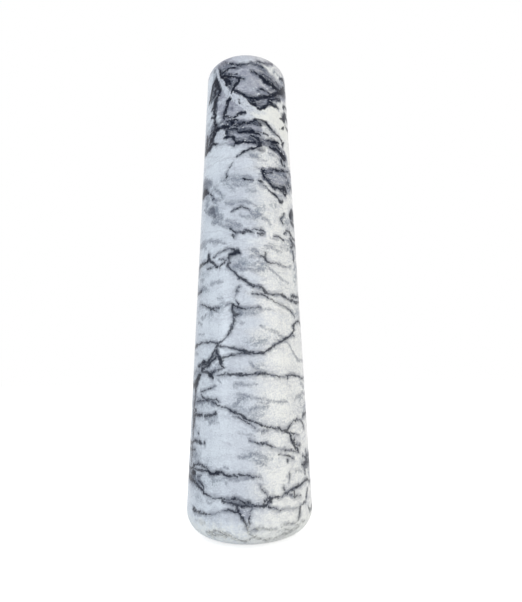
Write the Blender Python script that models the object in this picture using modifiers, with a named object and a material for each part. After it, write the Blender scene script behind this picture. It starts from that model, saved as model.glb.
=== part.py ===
"""Marble pestle: one solid piece of stone, turned, ground and polished, standing on its wide end.

Blender 4.5, metres, +Z up. The pestle's axis is the Z axis and its resting face lies in the plane z = 0.
"""

import math

import bpy

COLLECTION = "marble_pestle"

# Driving dimensions. Each diameter is taken where the straight side meets the rounded edge of that end.
LENGTH = 0.180
TOP_DIAMETER = 0.033
BASE_DIAMETER = 0.045
TOP_EDGE_RADIUS = 0.0025
TOP_CROWN_RADIUS = 0.100
BASE_EDGE_RADIUS = 0.007
BASE_CROWN_RADIUS = 0.080
REST_FACE_DIAMETER = 0.022

# Fineness of the turned surface
TURN_STEPS = 96
EDGE_STEPS = 8
CROWN_STEPS = 5

# Surface of the polished stone
STONE_COLOUR = (0.78, 0.79, 0.78, 1.0)
STONE_ROUGHNESS = 0.28


class RoundedEnd:
    """One end of the pestle: a spherical crown that runs smoothly into an edge arc, and that into the side.

    Depths are measured along the axis from the crown's pole towards the middle of the pestle. Angles are
    those of the surface's normal from the axis. side_angle is where the arc meets the side.
    """

    def __init__(self, diameter, edge_radius, crown_radius, side_angle):
        self.edge_radius = edge_radius
        self.crown_radius = crown_radius
        self.side_angle = side_angle
        self.centre_offset = diameter / 2 - edge_radius * math.sin(side_angle)
        between_centres = crown_radius - edge_radius
        self.crown_angle = math.asin(self.centre_offset / between_centres)
        self.centre_depth = crown_radius - between_centres * math.cos(self.crown_angle)

    def crown_point(self, angle):
        radius = self.crown_radius * math.sin(angle)
        depth = self.crown_radius * (1 - math.cos(angle))
        return radius, depth

    def edge_point(self, angle):
        radius = self.centre_offset + self.edge_radius * math.sin(angle)
        depth = self.centre_depth - self.edge_radius * math.cos(angle)
        return radius, depth

    def outline(self, first_crown_angle):
        """Points from the crown, at the given angle, out to the side."""
        crown_span = self.crown_angle - first_crown_angle
        crown = [self.crown_point(first_crown_angle + crown_span * step / CROWN_STEPS)
                 for step in range(CROWN_STEPS)]
        edge_span = self.side_angle - self.crown_angle
        edge = [self.edge_point(self.crown_angle + edge_span * step / EDGE_STEPS)
                for step in range(EDGE_STEPS + 1)]
        return crown + edge


def pestle_outline():
    """Half outline from the top's pole, down the side and in along the base, as (radius, height) pairs."""
    rest_angle = math.asin(REST_FACE_DIAMETER / 2 / BASE_CROWN_RADIUS)
    rest_depth = BASE_CROWN_RADIUS * (1 - math.cos(rest_angle))
    taper = 0.0
    # The taper depends on where the two edges start, and they on the taper. A few rounds settle both.
    for _ in range(6):
        top = RoundedEnd(TOP_DIAMETER, TOP_EDGE_RADIUS, TOP_CROWN_RADIUS, math.pi / 2 - taper)
        base = RoundedEnd(BASE_DIAMETER, BASE_EDGE_RADIUS, BASE_CROWN_RADIUS, math.pi / 2 + taper)
        side_top = LENGTH - top.edge_point(top.side_angle)[1]
        side_base = base.edge_point(base.side_angle)[1] - rest_depth
        taper = math.atan2((BASE_DIAMETER - TOP_DIAMETER) / 2, side_top - side_base)
    upper = [(radius, LENGTH - depth) for radius, depth in top.outline(0.0)]
    lower = [(radius, depth - rest_depth) for radius, depth in base.outline(rest_angle)]
    return upper + lower[::-1] + [(0.0, 0.0)]


def clear_scene():
    for thing in list(bpy.data.objects):
        bpy.data.objects.remove(thing, do_unlink=True)


def make_collection():
    collection = bpy.data.collections.new(COLLECTION)
    bpy.context.scene.collection.children.link(collection)
    return collection


def stone_material():
    material = bpy.data.materials.new("polished_marble")
    material.use_nodes = True
    shader = material.node_tree.nodes["Principled BSDF"]
    shader.inputs["Base Color"].default_value = STONE_COLOUR
    shader.inputs["Roughness"].default_value = STONE_ROUGHNESS
    shader.inputs["Metallic"].default_value = 0.0
    material.diffuse_color = STONE_COLOUR
    return material


def make_pestle(collection):
    """The whole pestle, turned about Z from its half outline."""
    outline = pestle_outline()
    mesh = bpy.data.meshes.new("pestle")
    vertices = [(radius, 0.0, height) for radius, height in outline]
    edges = [(index, index + 1) for index in range(len(outline) - 1)]
    mesh.from_pydata(vertices, edges, [])
    mesh.materials.append(stone_material())
    pestle = bpy.data.objects.new("pestle", mesh)
    collection.objects.link(pestle)
    turning = pestle.modifiers.new("turning", "SCREW")
    turning.axis = "Z"
    turning.angle = 2 * math.pi
    turning.steps = TURN_STEPS
    turning.render_steps = TURN_STEPS
    turning.use_merge_vertices = True
    turning.merge_threshold = 0.00001
    turning.use_smooth_shade = True
    return pestle


def main():
    clear_scene()
    make_pestle(make_collection())


main()
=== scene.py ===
import math
import random

import bmesh
import bpy
from mathutils import Matrix, Vector, noise


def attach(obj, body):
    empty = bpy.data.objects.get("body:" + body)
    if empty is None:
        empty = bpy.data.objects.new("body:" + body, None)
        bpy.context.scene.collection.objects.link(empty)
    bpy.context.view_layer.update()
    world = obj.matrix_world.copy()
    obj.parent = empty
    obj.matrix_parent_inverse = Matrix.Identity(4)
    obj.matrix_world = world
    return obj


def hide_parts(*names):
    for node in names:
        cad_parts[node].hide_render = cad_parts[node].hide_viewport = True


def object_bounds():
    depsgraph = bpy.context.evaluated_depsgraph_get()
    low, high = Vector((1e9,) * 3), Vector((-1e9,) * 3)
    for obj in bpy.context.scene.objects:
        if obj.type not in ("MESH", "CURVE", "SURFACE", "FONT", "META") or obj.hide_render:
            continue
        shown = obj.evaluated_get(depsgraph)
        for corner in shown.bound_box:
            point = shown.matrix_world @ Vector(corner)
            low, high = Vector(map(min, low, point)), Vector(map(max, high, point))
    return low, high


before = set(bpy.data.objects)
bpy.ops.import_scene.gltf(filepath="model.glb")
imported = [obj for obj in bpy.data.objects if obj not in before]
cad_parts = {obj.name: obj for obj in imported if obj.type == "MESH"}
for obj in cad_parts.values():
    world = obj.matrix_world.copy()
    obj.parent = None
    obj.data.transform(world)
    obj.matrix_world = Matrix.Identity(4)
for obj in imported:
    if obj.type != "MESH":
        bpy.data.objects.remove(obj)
cad_low, cad_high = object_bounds()


# The viewpoint. The photograph was taken from a short way off, level with the lower half of the pestle and
# looking slightly up, so the wide end looms and the rings of the stone curve.
MM = 0.001
VIEW_DISTANCE = 161.7 * MM
VIEW_TILT = math.radians(9.53)
VIEW_ROLL = math.radians(0.75)
VIEW_SIDEWAYS = -5.1 * MM
VIEW_RAISED = 7.2 * MM
SENSOR_LONG_SIDE = 36.0
LENS = 24.4
NEAREST_SEEN = 10 * MM

middle = (cad_low + cad_high) / 2
forward = Vector((0, math.cos(VIEW_TILT), math.sin(VIEW_TILT)))
level_right = Vector((1, 0, 0))
level_up = level_right.cross(forward)
view_right = math.cos(VIEW_ROLL) * level_right - math.sin(VIEW_ROLL) * level_up
view_up = math.sin(VIEW_ROLL) * level_right + math.cos(VIEW_ROLL) * level_up
camera_data = bpy.data.cameras.new("camera")
camera_data.sensor_fit = "AUTO"
camera_data.sensor_width = SENSOR_LONG_SIDE
camera_data.lens = LENS
camera_data.clip_start = NEAREST_SEEN
camera = bpy.data.objects.new("camera", camera_data)
bpy.context.scene.collection.objects.link(camera)
camera.location = middle - VIEW_SIDEWAYS * view_right - VIEW_RAISED * view_up - VIEW_DISTANCE * forward
turned = [[view_right[row], view_up[row], -forward[row]] for row in range(3)]
camera.rotation_mode = "QUATERNION"
camera.rotation_quaternion = Matrix(turned).to_quaternion()
bpy.context.scene.camera = camera


# The pestle's body. One length of veined white marble, turned to a straight taper, its narrow end slightly
# crowned and its grinding end rounded, with a small flat left on which it stands. It is ground and polished
# by hand, so the surface wanders by a few hundredths of a millimetre, and the grinding end is left rough.
LENGTH = cad_high.z - cad_low.z
BASE_RADIUS = (cad_high.x - cad_low.x) / 2
TOP_RADIUS = 16.5 * MM
TOP_EDGE_RADIUS = 2.5 * MM
TOP_CROWN_RADIUS = 100 * MM
BASE_EDGE_RADIUS = 7 * MM
BASE_CROWN_RADIUS = 80 * MM
REST_FACE_RADIUS = 11 * MM
STEPS_ROUND = 288
SIDE_RINGS = 230
EDGE_RINGS = 14
CROWN_RINGS = 12
REST_RINGS = 4
TAPER_ROUNDS = 6
GROUND_WAVE = 0.05 * MM
GROUND_WAVE_LENGTH = 22 * MM
ROUGH_END_GRAIN = 0.035 * MM
ROUGH_END_GRAIN_LENGTH = 1.1 * MM
ROUGH_END_HEIGHT = 6 * MM
GROUND_AWAY = 0.5
UNGROUND_HEIGHT = 0.05 * MM
UNGROUND_RADIUS = 0.1 * MM


def rounded_end(radius, edge_radius, crown_radius, side_angle, first_crown_angle):
    """Radius and depth below the pole of the points along one end, from the crown out to the side."""
    between_centres = crown_radius - edge_radius
    centre_offset = radius - edge_radius * math.sin(side_angle)
    crown_angle = math.asin(centre_offset / between_centres)
    centre_depth = crown_radius - between_centres * math.cos(crown_angle)
    points = []
    for ring in range(CROWN_RINGS):
        angle = first_crown_angle + (crown_angle - first_crown_angle) * ring / CROWN_RINGS
        points.append((crown_radius * math.sin(angle), crown_radius * (1 - math.cos(angle))))
    for ring in range(EDGE_RINGS + 1):
        angle = crown_angle + (side_angle - crown_angle) * ring / EDGE_RINGS
        edge_depth = centre_depth - edge_radius * math.cos(angle)
        points.append((centre_offset + edge_radius * math.sin(angle), edge_depth))
    return points


def pestle_outline():
    """Half outline from the top's pole down to the middle of the resting face, as (radius, height).

    The taper depends on where the two edges start, and they on the taper. A few rounds settle both.
    """
    rest_angle = math.asin(REST_FACE_RADIUS / BASE_CROWN_RADIUS)
    rest_depth = BASE_CROWN_RADIUS * (1 - math.cos(rest_angle))
    upright = math.pi / 2
    taper = 0.0
    for _ in range(TAPER_ROUNDS):
        top = rounded_end(TOP_RADIUS, TOP_EDGE_RADIUS, TOP_CROWN_RADIUS, upright - taper, 0.0)
        base = rounded_end(BASE_RADIUS, BASE_EDGE_RADIUS, BASE_CROWN_RADIUS, upright + taper, rest_angle)
        side_length = LENGTH - top[-1][1] - base[-1][1] + rest_depth
        taper = math.atan2(base[-1][0] - top[-1][0], side_length)
    upper = [(radius, LENGTH - depth) for radius, depth in top]
    lower = [(radius, depth - rest_depth) for radius, depth in base]
    (top_radius, top_height), (base_radius, base_height) = upper[-1], lower[-1]
    side = []
    for ring in range(1, SIDE_RINGS):
        share = ring / SIDE_RINGS
        side.append((top_radius + (base_radius - top_radius) * share,
                     top_height + (base_height - top_height) * share))
    rest = [(REST_FACE_RADIUS * ring / REST_RINGS, 0.0) for ring in reversed(range(REST_RINGS))]
    return upper + side + lower[::-1] + rest


def ground_by_hand(point):
    """The point, moved as the grinder left it, mostly inwards. The resting face stays flat."""
    outward = Vector((point.x, point.y, 0))
    if point.z < UNGROUND_HEIGHT or outward.length < UNGROUND_RADIUS:
        return point
    wave = GROUND_WAVE * (noise.noise(point / GROUND_WAVE_LENGTH) - GROUND_AWAY)
    rough = max(0.0, 1 - point.z / ROUGH_END_HEIGHT)
    grain = ROUGH_END_GRAIN * rough * (noise.noise(point / ROUGH_END_GRAIN_LENGTH) - GROUND_AWAY)
    return point + outward.normalized() * (wave + grain)


outline = pestle_outline()
body = bmesh.new()
rings = []
for radius, height in outline:
    if radius == 0:
        rings.append([body.verts.new((0, 0, height))])
        continue
    ring = []
    for step in range(STEPS_ROUND):
        angle = 2 * math.pi * step / STEPS_ROUND
        point = Vector((radius * math.sin(angle), -radius * math.cos(angle), height))
        ring.append(body.verts.new(ground_by_hand(point)))
    rings.append(ring)
for upper_ring, lower_ring in zip(rings, rings[1:]):
    for step in range(STEPS_ROUND):
        following = (step + 1) % STEPS_ROUND
        if len(upper_ring) == 1:
            body.faces.new((upper_ring[0], lower_ring[step], lower_ring[following]))
        elif len(lower_ring) == 1:
            body.faces.new((upper_ring[step], lower_ring[0], upper_ring[following]))
        else:
            lower_edge = (lower_ring[step], lower_ring[following])
            body.faces.new((upper_ring[step], *lower_edge, upper_ring[following]))
bmesh.ops.recalc_face_normals(body, faces=body.faces)
body_mesh = bpy.data.meshes.new("pestle_body")
body.to_mesh(body_mesh)
body.free()
for face in body_mesh.polygons:
    face.use_smooth = True
pestle = bpy.data.objects.new("pestle_body", body_mesh)
bpy.context.scene.collection.objects.link(pestle)


# The marble. White stone, bluish on one side and creamy on the other, laid down in beds across the pestle's
# length. That tint, and the creamy side's greater brightness, are partly the stone's own and partly painted
# light, cool from the left and warm from the right. Dark mineral veins run round it along the beds, with
# short risers from bed to bed, grey patches between them and one chalky seam near the top. A lavender band
# down the middle is partly painted shade, the left edge is greyed with painted shade, and the grinding end
# is whitened partly as painted light from the floor. All of it is polished except the grinding end.
NOISE_LOW = 0.3
NOISE_MIDDLE = 0.5
NOISE_HIGH = 0.7


class Value:
    """A number that changes over a surface. Its operators add Math nodes."""

    def __init__(self, shader, socket):
        self.shader = shader
        self.socket = socket

    def math(self, operation, *numbers):
        return self.shader.node("ShaderNodeMath", {"operation": operation}, dict(enumerate(numbers)))

    def __add__(self, other):
        return self.math("ADD", self, other)

    __radd__ = __add__

    def __sub__(self, other):
        return self.math("SUBTRACT", self, other)

    def __rsub__(self, other):
        return self.math("SUBTRACT", other, self)

    def __mul__(self, other):
        return self.math("MULTIPLY", self, other)

    __rmul__ = __mul__

    def __abs__(self):
        return self.math("ABSOLUTE", self)

    def least(self, other):
        return self.math("MINIMUM", self, other)

    def swing(self, reach):
        """A noise from 0 to 1 as a shift to either side, over this whole reach."""
        return (self - NOISE_MIDDLE) * reach

    def rising(self, start, end):
        """0 at start, 1 at end, with a soft change between."""
        sockets = {"Value": self, "From Min": start, "From Max": end}
        return self.shader.node("ShaderNodeMapRange", {"interpolation_type": "SMOOTHSTEP"}, sockets)


class Shader:
    """The nodes of a material, or of the world, under construction."""

    def __init__(self, owner):
        self.owner = owner
        owner.use_nodes = True
        self.tree = owner.node_tree
        self.tree.nodes.clear()

    def node(self, kind, settings, sockets, output=0):
        """Adds a node: its settings first, then the numbers and links of its sockets."""
        node = self.tree.nodes.new(kind)
        for name, setting in settings.items():
            if name == "points":
                self.draw_curve(node.mapping, setting)
            else:
                setattr(node, name, setting)
        for key, given in sockets.items():
            if isinstance(given, Value):
                self.tree.links.new(given.socket, node.inputs[key])
            else:
                node.inputs[key].default_value = given
        if output is not None:
            return Value(self, node.outputs[output])

    def draw_curve(self, mapping, points):
        curve = mapping.curves[0]
        curve.points[0].location = points[0]
        curve.points[-1].location = points[-1]
        for point in points[1:-1]:
            curve.points.new(*point)
        for point in curve.points:
            point.handle_type = "VECTOR"
        mapping.update()

    def mix(self, share, first, second):
        """The second colour over the first, by share. The node's colour sockets are known by number."""
        sockets = {0: share, 6: first, 7: second}
        return self.node("ShaderNodeMix", {"data_type": "RGBA"}, sockets, output=2)

    def mottle(self, place, grain, detail, roughness):
        """Noise that covers 0 to 1 evenly, with patches about grain millimetres across."""
        sockets = {"Vector": place, "Scale": 1 / grain, "Detail": detail, "Roughness": roughness}
        return self.node("ShaderNodeTexNoise", {}, sockets).rising(NOISE_LOW, NOISE_HIGH)

    def scatter(self, place, grain):
        """Three independent noises in one vector, each from 0 to 1."""
        sockets = {"Vector": place, "Scale": 1 / grain, "Detail": 2.0}
        return self.node("ShaderNodeTexNoise", {}, sockets, output="Color")

    def vector(self, operation, first, second):
        return self.node("ShaderNodeVectorMath", {"operation": operation}, {0: first, 1: second})

    def component(self, vector, axis):
        return self.node("ShaderNodeSeparateXYZ", {}, {0: vector}, output=axis)

    def finish(self, surface, output_kind="ShaderNodeOutputMaterial"):
        self.node(output_kind, {}, {"Surface": surface}, output=None)


# Veins are drawn as a quarryman would sketch them on the rolled-out surface. Each point gives the angle
# round the pestle in degrees from the front, the height above the resting face and half the vein's
# thickness there, both in millimetres. Where that is zero or less, only a frayed trace is left. These run
# along the beds, from left to right.
DARK_VEINS = [
    # Above the chalky seam
    [(-38, 176.4, .1), (-33, 176.6, .2), (-28, 176.3, .15), (-24, 175.5, .15), (-19, 174.7, .2),
     (-14, 174.1, .12), (-10, 173.6, .2), (-5, 173.6, .12), (0, 173.8, 0), (5, 173.7, -.05), (9, 173.6, 0),
     (13, 173.5, .18), (18, 173.4, .15), (24, 173.3, .2), (26, 173, .1)],
    [(15, 175, .1), (20, 175.3, .2), (26, 175.1, .08), (30, 175.6, .2), (35, 176.3, .22), (41, 177, .15)],
    [(-34, 172.3, .25), (-28, 172.4, .2), (-24, 172.7, .3), (-19, 172.9, .25), (-14, 172.6, .28),
     (-10.5, 172.5, .15)],
    [(8, 170.4, .3), (12, 170, .2), (16, 169.5, .2), (20, 168.8, .7), (24, 168, 1.2), (30, 167.4, 1.2),
     (36, 166.9, 1), (44, 166.6, .8), (52, 166.4, .8), (58, 167, 1.2), (63, 168.2, 1.4), (68, 169.8, 1.4)],
    [(24, 170.2, .1), (30, 169.9, .15), (38, 169.2, .1), (46, 168.5, 0), (54, 168.2, 0)],
    [(36, 170.4, 0), (42, 170, .02), (48, 169.4, .05), (54, 168.9, .08), (59, 168.9, .15)],
    [(-19, 162.5, .35), (-14, 162.3, .4), (-9, 161.6, .45), (-3, 160, .45), (1, 159, .5), (4, 158.6, .45),
     (8, 158.3, .5), (12, 158.5, .55), (16, 159.1, .6), (20, 159.7, .7), (26, 160.4, .7), (32, 161.1, .7),
     (38, 162, .7), (42, 163.2, .8), (46, 164.4, .9), (50, 165.4, 1), (56, 166.6, 1.1)],
    [(30, 159.2, .2), (36, 160.2, .3), (42, 161.3, .4), (48, 162, .45), (54, 162.9, .4)],
    [(44, 160.4, .2), (48, 161.1, .4), (52, 162, .5), (56, 163, .5)],
    [(17, 163.4, .2), (22, 163.6, .35), (27, 163.2, .35), (33, 162.8, .2)],
    [(14, 162.3, .12), (19, 162.2, .2)],
    [(-31, 170.3, .5), (-26, 169.6, .5), (-20, 169, .45), (-14, 168.3, .4), (-9, 167.7, .5),
     (-5, 167.4, .6), (-1, 167.3, .3)],
    [(-19, 161.6, .5), (-17, 163, .6), (-14, 164.6, .6), (-11, 166, .6), (-8.5, 167.2, .8)],
    [(-24, 170.6, .1), (-18, 170.2, .25), (-11, 169.6, .15)],
    [(-28.5, 168.9, .3), (-25.5, 167.9, .8), (-22.5, 166.7, .8), (-20, 165.6, .3)],
    [(-54, 158, .3), (-51, 158.7, .35), (-48, 158.5, .5)],
    [(-54, 155, .25), (-50, 154.5, .38), (-46, 153.6, .45)],
    [(-26.5, 150.1, .1), (-24, 149.8, .4), (-21, 149.6, .45), (-17, 149.7, .35), (-13, 149.9, .2)],
    [(-30, 153, .6), (-25, 152, .45), (-20, 151.2, .35), (-15, 150.8, .4), (-11, 151.5, .4),
     (-7, 152.2, .35), (-3, 152.5, .7), (0, 152.3, .5)],
    [(1, 158.4, .1), (3.5, 157.5, .2), (6, 156.4, .5), (9, 156.2, .7), (12, 155.9, .6), (14, 155.4, .2)],
    [(5, 157.8, .3), (9, 157.3, .4), (13, 157.5, .35)],
    [(14.5, 154.8, .4), (18, 154.2, .6), (22, 155, .6), (25, 155.8, .7), (28, 156.8, .6), (31, 157.6, .5),
     (35, 157.9, .5), (39, 158, .6), (43, 157.9, .45), (47, 157.9, .35), (50, 157.7, .2)],
    [(29, 157.8, .2), (33, 158.8, .35), (38, 159.2, .3)],
    [(50, 153.8, .2), (54, 154.1, .5), (57, 154.7, .9), (60, 155.3, 1.4), (64, 156.6, 1.3), (69, 158, 1)],
    [(60, 160.1, .4), (63, 161, .7), (68, 162.4, .5)],
    [(48, 149, .2), (52, 149.5, .2), (55, 150.1, .35), (58, 150.8, .4), (62, 151.6, .4)],
    [(60, 153.6, .3), (66, 152.3, .5)],
    [(56, 172.2, .3), (62, 173.6, .7), (68, 174.6, .5)],
    # The dark arches under the seam
    [(-66, 141.2, .5), (-62, 141.4, .7), (-58, 141.5, .8), (-54, 141.7, .8), (-50, 142.2, .6),
     (-46, 142.4, .5), (-42, 141.9, .4), (-38, 141.3, .3), (-36, 141.1, .15)],
    [(-56, 143.6, .6), (-52, 144.8, .9), (-48, 145.2, 1), (-45, 145.8, 1), (-42, 146.6, .7)],
    [(-60, 146.6, .3), (-56, 147, .2), (-51, 147.6, .15), (-47, 148, .4), (-43, 148, .7), (-39, 148, .8),
     (-35, 147.6, .75), (-31, 147.4, .7), (-27, 147.7, .8), (-23, 147.6, .9), (-20, 147.4, .6)],
    [(-19, 149.7, .3), (-17, 148.7, .8), (-14.5, 148.6, .5)],
    [(-15, 150, .4), (-11, 149.7, .35), (-9, 149.2, .25)],
    [(-14, 147.4, .2), (-10, 147.6, .3), (-6, 147.8, .4), (-2, 148, .9), (3, 147.9, .45), (8, 148.5, .3),
     (11, 149.7, .4), (14, 150.1, .45), (17, 150.1, .4), (20, 149.8, .3), (24, 149.6, .3), (28, 149, .5),
     (30, 148.1, .55), (33, 147.3, .4), (36, 146.9, .35), (38.5, 146.5, .35), (42, 145.9, .2),
     (46, 145.6, .25), (50, 144.8, .3), (54, 144, .15), (57, 142.9, .2)],
    [(9, 148, .2), (13, 147.7, .3), (17, 147.6, .3), (20, 147.7, .25)],
    [(11, 148.6, .12), (16, 148.5, .25), (20, 148.2, .15)],
    [(-13, 146.9, .15), (-8, 146.8, .3), (-3, 146.6, .2)],
    [(-22, 146.3, .15), (-15, 146.2, .25), (-10, 145.5, .3)],
    [(-10.5, 144.8, .3), (-8, 144.2, .5), (-4, 143.9, .6), (0, 143.8, .6), (4, 143.9, .8), (8, 143.8, 1),
     (11, 143.8, .7), (14, 143.6, .3), (18, 143.2, .15), (20, 142.8, .05)],
    [(13, 145.2, 0), (18, 144.7, .1), (22, 144.6, .12), (26, 144.2, .32), (30, 144, .18)],
    [(-28.5, 142.6, .3), (-25, 143.1, .5), (-21, 143.3, .55), (-17, 142.9, .5), (-14.5, 141.8, .4),
     (-12, 139.8, .45), (-9, 139.7, .5), (-5, 140, .5), (-1, 140.1, .45), (3, 139.9, .4), (7, 140, .45),
     (11, 140.1, .45), (15, 140.2, .45)],
    [(-36, 140.9, -.3), (-30, 140.6, -.2), (-25, 140.4, -.2), (-20, 139.7, -.1), (-16, 139, .3),
     (-13.5, 139.1, .5), (-12, 139.4, .3)],
    [(5, 142.4, .25), (10, 142.2, .28), (14, 141.7, .3), (16, 141.6, .4)],
    [(-11.5, 134, .1), (-8, 134.5, .1), (-4, 135.5, .25), (-1, 136, .35), (2, 136.9, .32), (5, 137.4, .32),
     (7.5, 137.4, .5), (11, 137.6, .4), (14, 138.4, .1), (17, 138.8, .1)],
    [(23, 141.2, -.1), (26, 141.6, .2), (30, 141.7, .3), (35, 141.8, .4), (40, 142.3, .5), (44, 142.6, .5),
     (48, 142.6, .3)],
    [(33, 141, .3), (38, 140.9, .45), (43, 140.9, .45), (48, 140, .3)],
    [(29, 139.1, .4), (33, 138.9, .8), (37, 138.7, .7), (41, 139.2, .6), (44, 138.6, .6), (47, 138.4, .8),
     (51, 137.8, 1.3), (55, 137.7, 1.6), (58.5, 138, 1.3)],
    [(47, 135.6, .5), (49.5, 134.8, .8), (51.5, 133.9, .5)],
    [(53, 134.2, .3), (55.5, 133.9, .5), (58, 134.4, .4)],
    [(52, 142.3, .4), (55, 143.2, .4), (58, 144.2, .2)],
    # The grey wedge on the right and the clouded stone on the left
    [(22, 128.3, .1), (27, 128.4, .2), (33, 128.9, .1)],
    [(52, 129.6, .1), (57, 129.4, .2), (61, 129.9, .1)],
    [(10, 129.9, -.5), (13, 129.8, -.3), (16, 129.4, -.1), (20, 129, .05), (26, 129, .05),
     (30, 129.8, .05), (34, 130.2, .1), (37, 130.4, .3), (40, 130.4, .6), (44, 130.4, .5),
     (49, 130.9, .45), (53, 131.4, .45), (59, 132.2, .3), (66, 133.2, .2)],
    [(28, 124.3, .25), (32, 123.1, .6), (36, 122.9, .65), (40, 123.6, .65), (44, 123.1, .35),
     (48, 123.6, .6), (52, 124.2, .9), (56, 123.8, .9)],
    [(38, 123.1, .1), (43, 123, .2), (48, 122.4, .3), (52, 121.7, .5), (56, 121.9, .4)],
    [(43, 124.4, -.2), (47, 124.5, 0), (51, 124.8, .2)],
    [(32.5, 123.3, .3), (34, 122.5, .35), (36, 122, .3)],
    [(15, 124.6, .35), (18, 124.1, .38), (21, 123.9, .15)],
    [(20, 122.8, .12), (25, 121.8, .15), (29, 120.6, .22), (33, 120.3, .35), (36, 119.9, .35),
     (39, 119.4, .4), (41, 118.7, .45), (43, 117.9, .52), (45, 118, .55), (48, 118.5, .4)],
    [(-4, 125.3, .2), (0, 125.1, .3), (3, 124.9, .28), (8.5, 124.9, .22)],
    [(-68, 123.6, 1.5), (-64, 123.8, 1.7), (-60, 124, 1.5), (-57, 123.8, 1.1), (-54, 123.3, .6),
     (-51, 122.6, .2), (-48, 122.2, .1), (-45.5, 121.5, .3), (-44, 121.1, .15)],
    [(-44, 119.6, .1), (-42, 119.4, .25), (-39.5, 119.4, .15)],
    [(-16, 112.4, .2), (-14, 112.9, .25), (-11, 113.3, .25), (-8, 113.8, .3), (-5, 114, .33),
     (-2, 113.8, .25), (1, 113.6, .12), (4, 112.9, .05)],
    [(60, 113.7, .5), (64, 114.8, 1.2), (70, 116.5, 1.6)],
    [(63, 111.8, .6), (68, 111.5, .7)],
    [(46, 105.6, .3), (49, 105.9, .35), (52, 106.4, .25)],
    [(50, 107, .2), (54, 107.5, .3), (58, 107.4, .3), (62, 106.6, .45), (67, 105.5, .4)],
    # The level vein with two tails
    [(-18, 106.4, .35), (-16, 106.3, .45), (-14.5, 105.6, .4), (-13, 104.9, .4), (-11, 104.5, .42),
     (-7, 104.6, .33), (-3, 104.5, .33), (0, 104.7, .5), (2, 104.7, .5), (5, 104.5, .4), (8, 104.2, .2)],
    [(6, 105.3, .1), (10, 105.6, .1), (14, 105.3, .08), (17, 105.6, .3), (20, 105.3, .33),
     (21.5, 104.9, .2)],
    [(12, 103.9, .1), (14, 103.9, .2), (17, 104.2, .35), (20, 104.1, .3), (21.5, 103.9, .15)],
    [(31, 103.8, .2), (35, 103.8, .25), (39, 103.7, .25), (42, 103.3, .2), (45, 103, .1)],
    [(57, 104.6, .2), (62, 104, .4), (67, 103.3, .45)],
    [(58, 101.2, .2), (62, 101.7, .35), (66, 102.6, .45), (70, 103.5, .4)],
    # The blot on the left and the long slope to the right
    [(-70, 94.9, .5), (-65, 95, .6), (-60, 95.2, .6), (-55, 95.1, .45), (-50, 95.1, .35), (-47, 95.7, .55),
     (-45, 95.9, .65), (-43, 95.2, .4), (-40, 94.6, .3), (-37, 93.9, .4), (-35, 93.2, .5), (-33, 92.6, .5),
     (-30, 92.5, .35)],
    [(-50, 93.2, .15), (-46, 92.7, .22), (-42, 92.6, .28), (-38, 93, .25), (-36, 93.2, .2)],
    [(-40, 96.2, .12), (-36, 96.7, .08), (-32, 97.2, 0), (-28, 97.8, .02), (-24, 98.4, .05),
     (-20, 98.8, .1), (-17, 98.4, .1), (-13, 98.1, .15), (-10, 97.8, .3)],
    [(-19, 96.1, .5), (-16, 96.4, .45), (-14, 96.3, .4), (-12, 97, .8), (-10, 97.4, .9), (-8, 97.2, .7),
     (-6.5, 96.6, .4)],
    [(-29, 92, .35), (-27.5, 92.6, .35), (-25, 93.2, .35), (-22, 93.9, .25)],
    [(-31, 95.3, -.1), (-26, 95, .15), (-21, 94.6, .1)],
    [(-19.5, 91.8, .35), (-17.5, 91.2, .35), (-15, 90.6, .35), (-13, 89.8, .3), (-10, 88.8, .3),
     (-8, 87.6, .5), (-6, 87.4, .55), (-4, 87.1, .58), (-2, 86.8, .52), (1, 85.9, .45), (4, 84.9, .34),
     (8, 84.2, .2), (12, 84.5, .4), (14, 84.2, .4), (16, 84.2, .35), (18, 83.5, .4), (19, 82.8, .4),
     (21, 82.3, .4), (24, 82, .25), (28, 81.9, .2), (33, 82, .18), (37, 82, .22), (40, 81.9, .25),
     (43, 81.4, .33), (46, 81, .25), (50, 81, .25), (54, 80.8, .3), (58, 80.9, .3), (62, 80.5, .35),
     (68, 80.7, .4)],
    [(53, 82, .35), (57, 82.5, .4), (61, 82.8, .42), (65, 82.7, .4), (69, 83, .4)],
    [(5, 81.9, .15), (9, 81.7, .25), (13, 81.6, .28), (17, 81.7, .2), (19, 81.5, .2), (22, 81, .22),
     (26, 80.2, .05), (30, 79.5, 0), (33, 79, 0), (37, 78.4, .05), (40, 78.3, 0), (43, 78.1, .1),
     (47, 77.5, .2), (50, 77.2, .28), (52, 76.5, .22), (55, 75.8, .25), (59, 75.1, .15)],
    [(14, 95.5, .15), (17, 95.5, .2), (19, 95.3, .35), (20.5, 94.8, .42), (21.5, 93.9, .35),
     (23, 93.5, .28), (27, 93.6, .08), (31, 93.6, .05), (34, 93.7, .05), (37, 93.3, .02), (42, 93.4, -.05),
     (48, 93.2, -.05)],
    [(-66, 84.4, .3), (-61, 84.6, .35), (-57, 84.8, .2)],
    [(-57, 79.6, .15), (-52, 79.2, .18), (-48, 78.6, .22), (-44, 78.2, .28), (-40, 77.8, .35),
     (-36, 77.6, .25), (-31, 77.6, .2), (-27, 77.6, .12)],
    [(-40, 77.4, .25), (-36, 77, .2), (-31, 76.7, .15)],
    [(-22, 78, .1), (-19, 78.4, .1), (-16, 78.6, .1), (-14, 78.4, .15), (-12.5, 77.8, .3)],
    [(-11.5, 77.3, .42), (-8, 77, .42), (-4, 76.7, .28), (0, 76.6, .12), (4, 76.8, -.05), (8, 77, .1),
     (12, 77.2, .25), (14, 77.1, .1)],
    [(-10, 79.3, .2), (-8, 78.4, .25), (-7, 77.8, .2)],
    [(-12, 74.9, .3), (-9, 74.5, .28), (-6, 75, .2)],
    # The junction on the left, and the curve that climbs to the right
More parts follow.
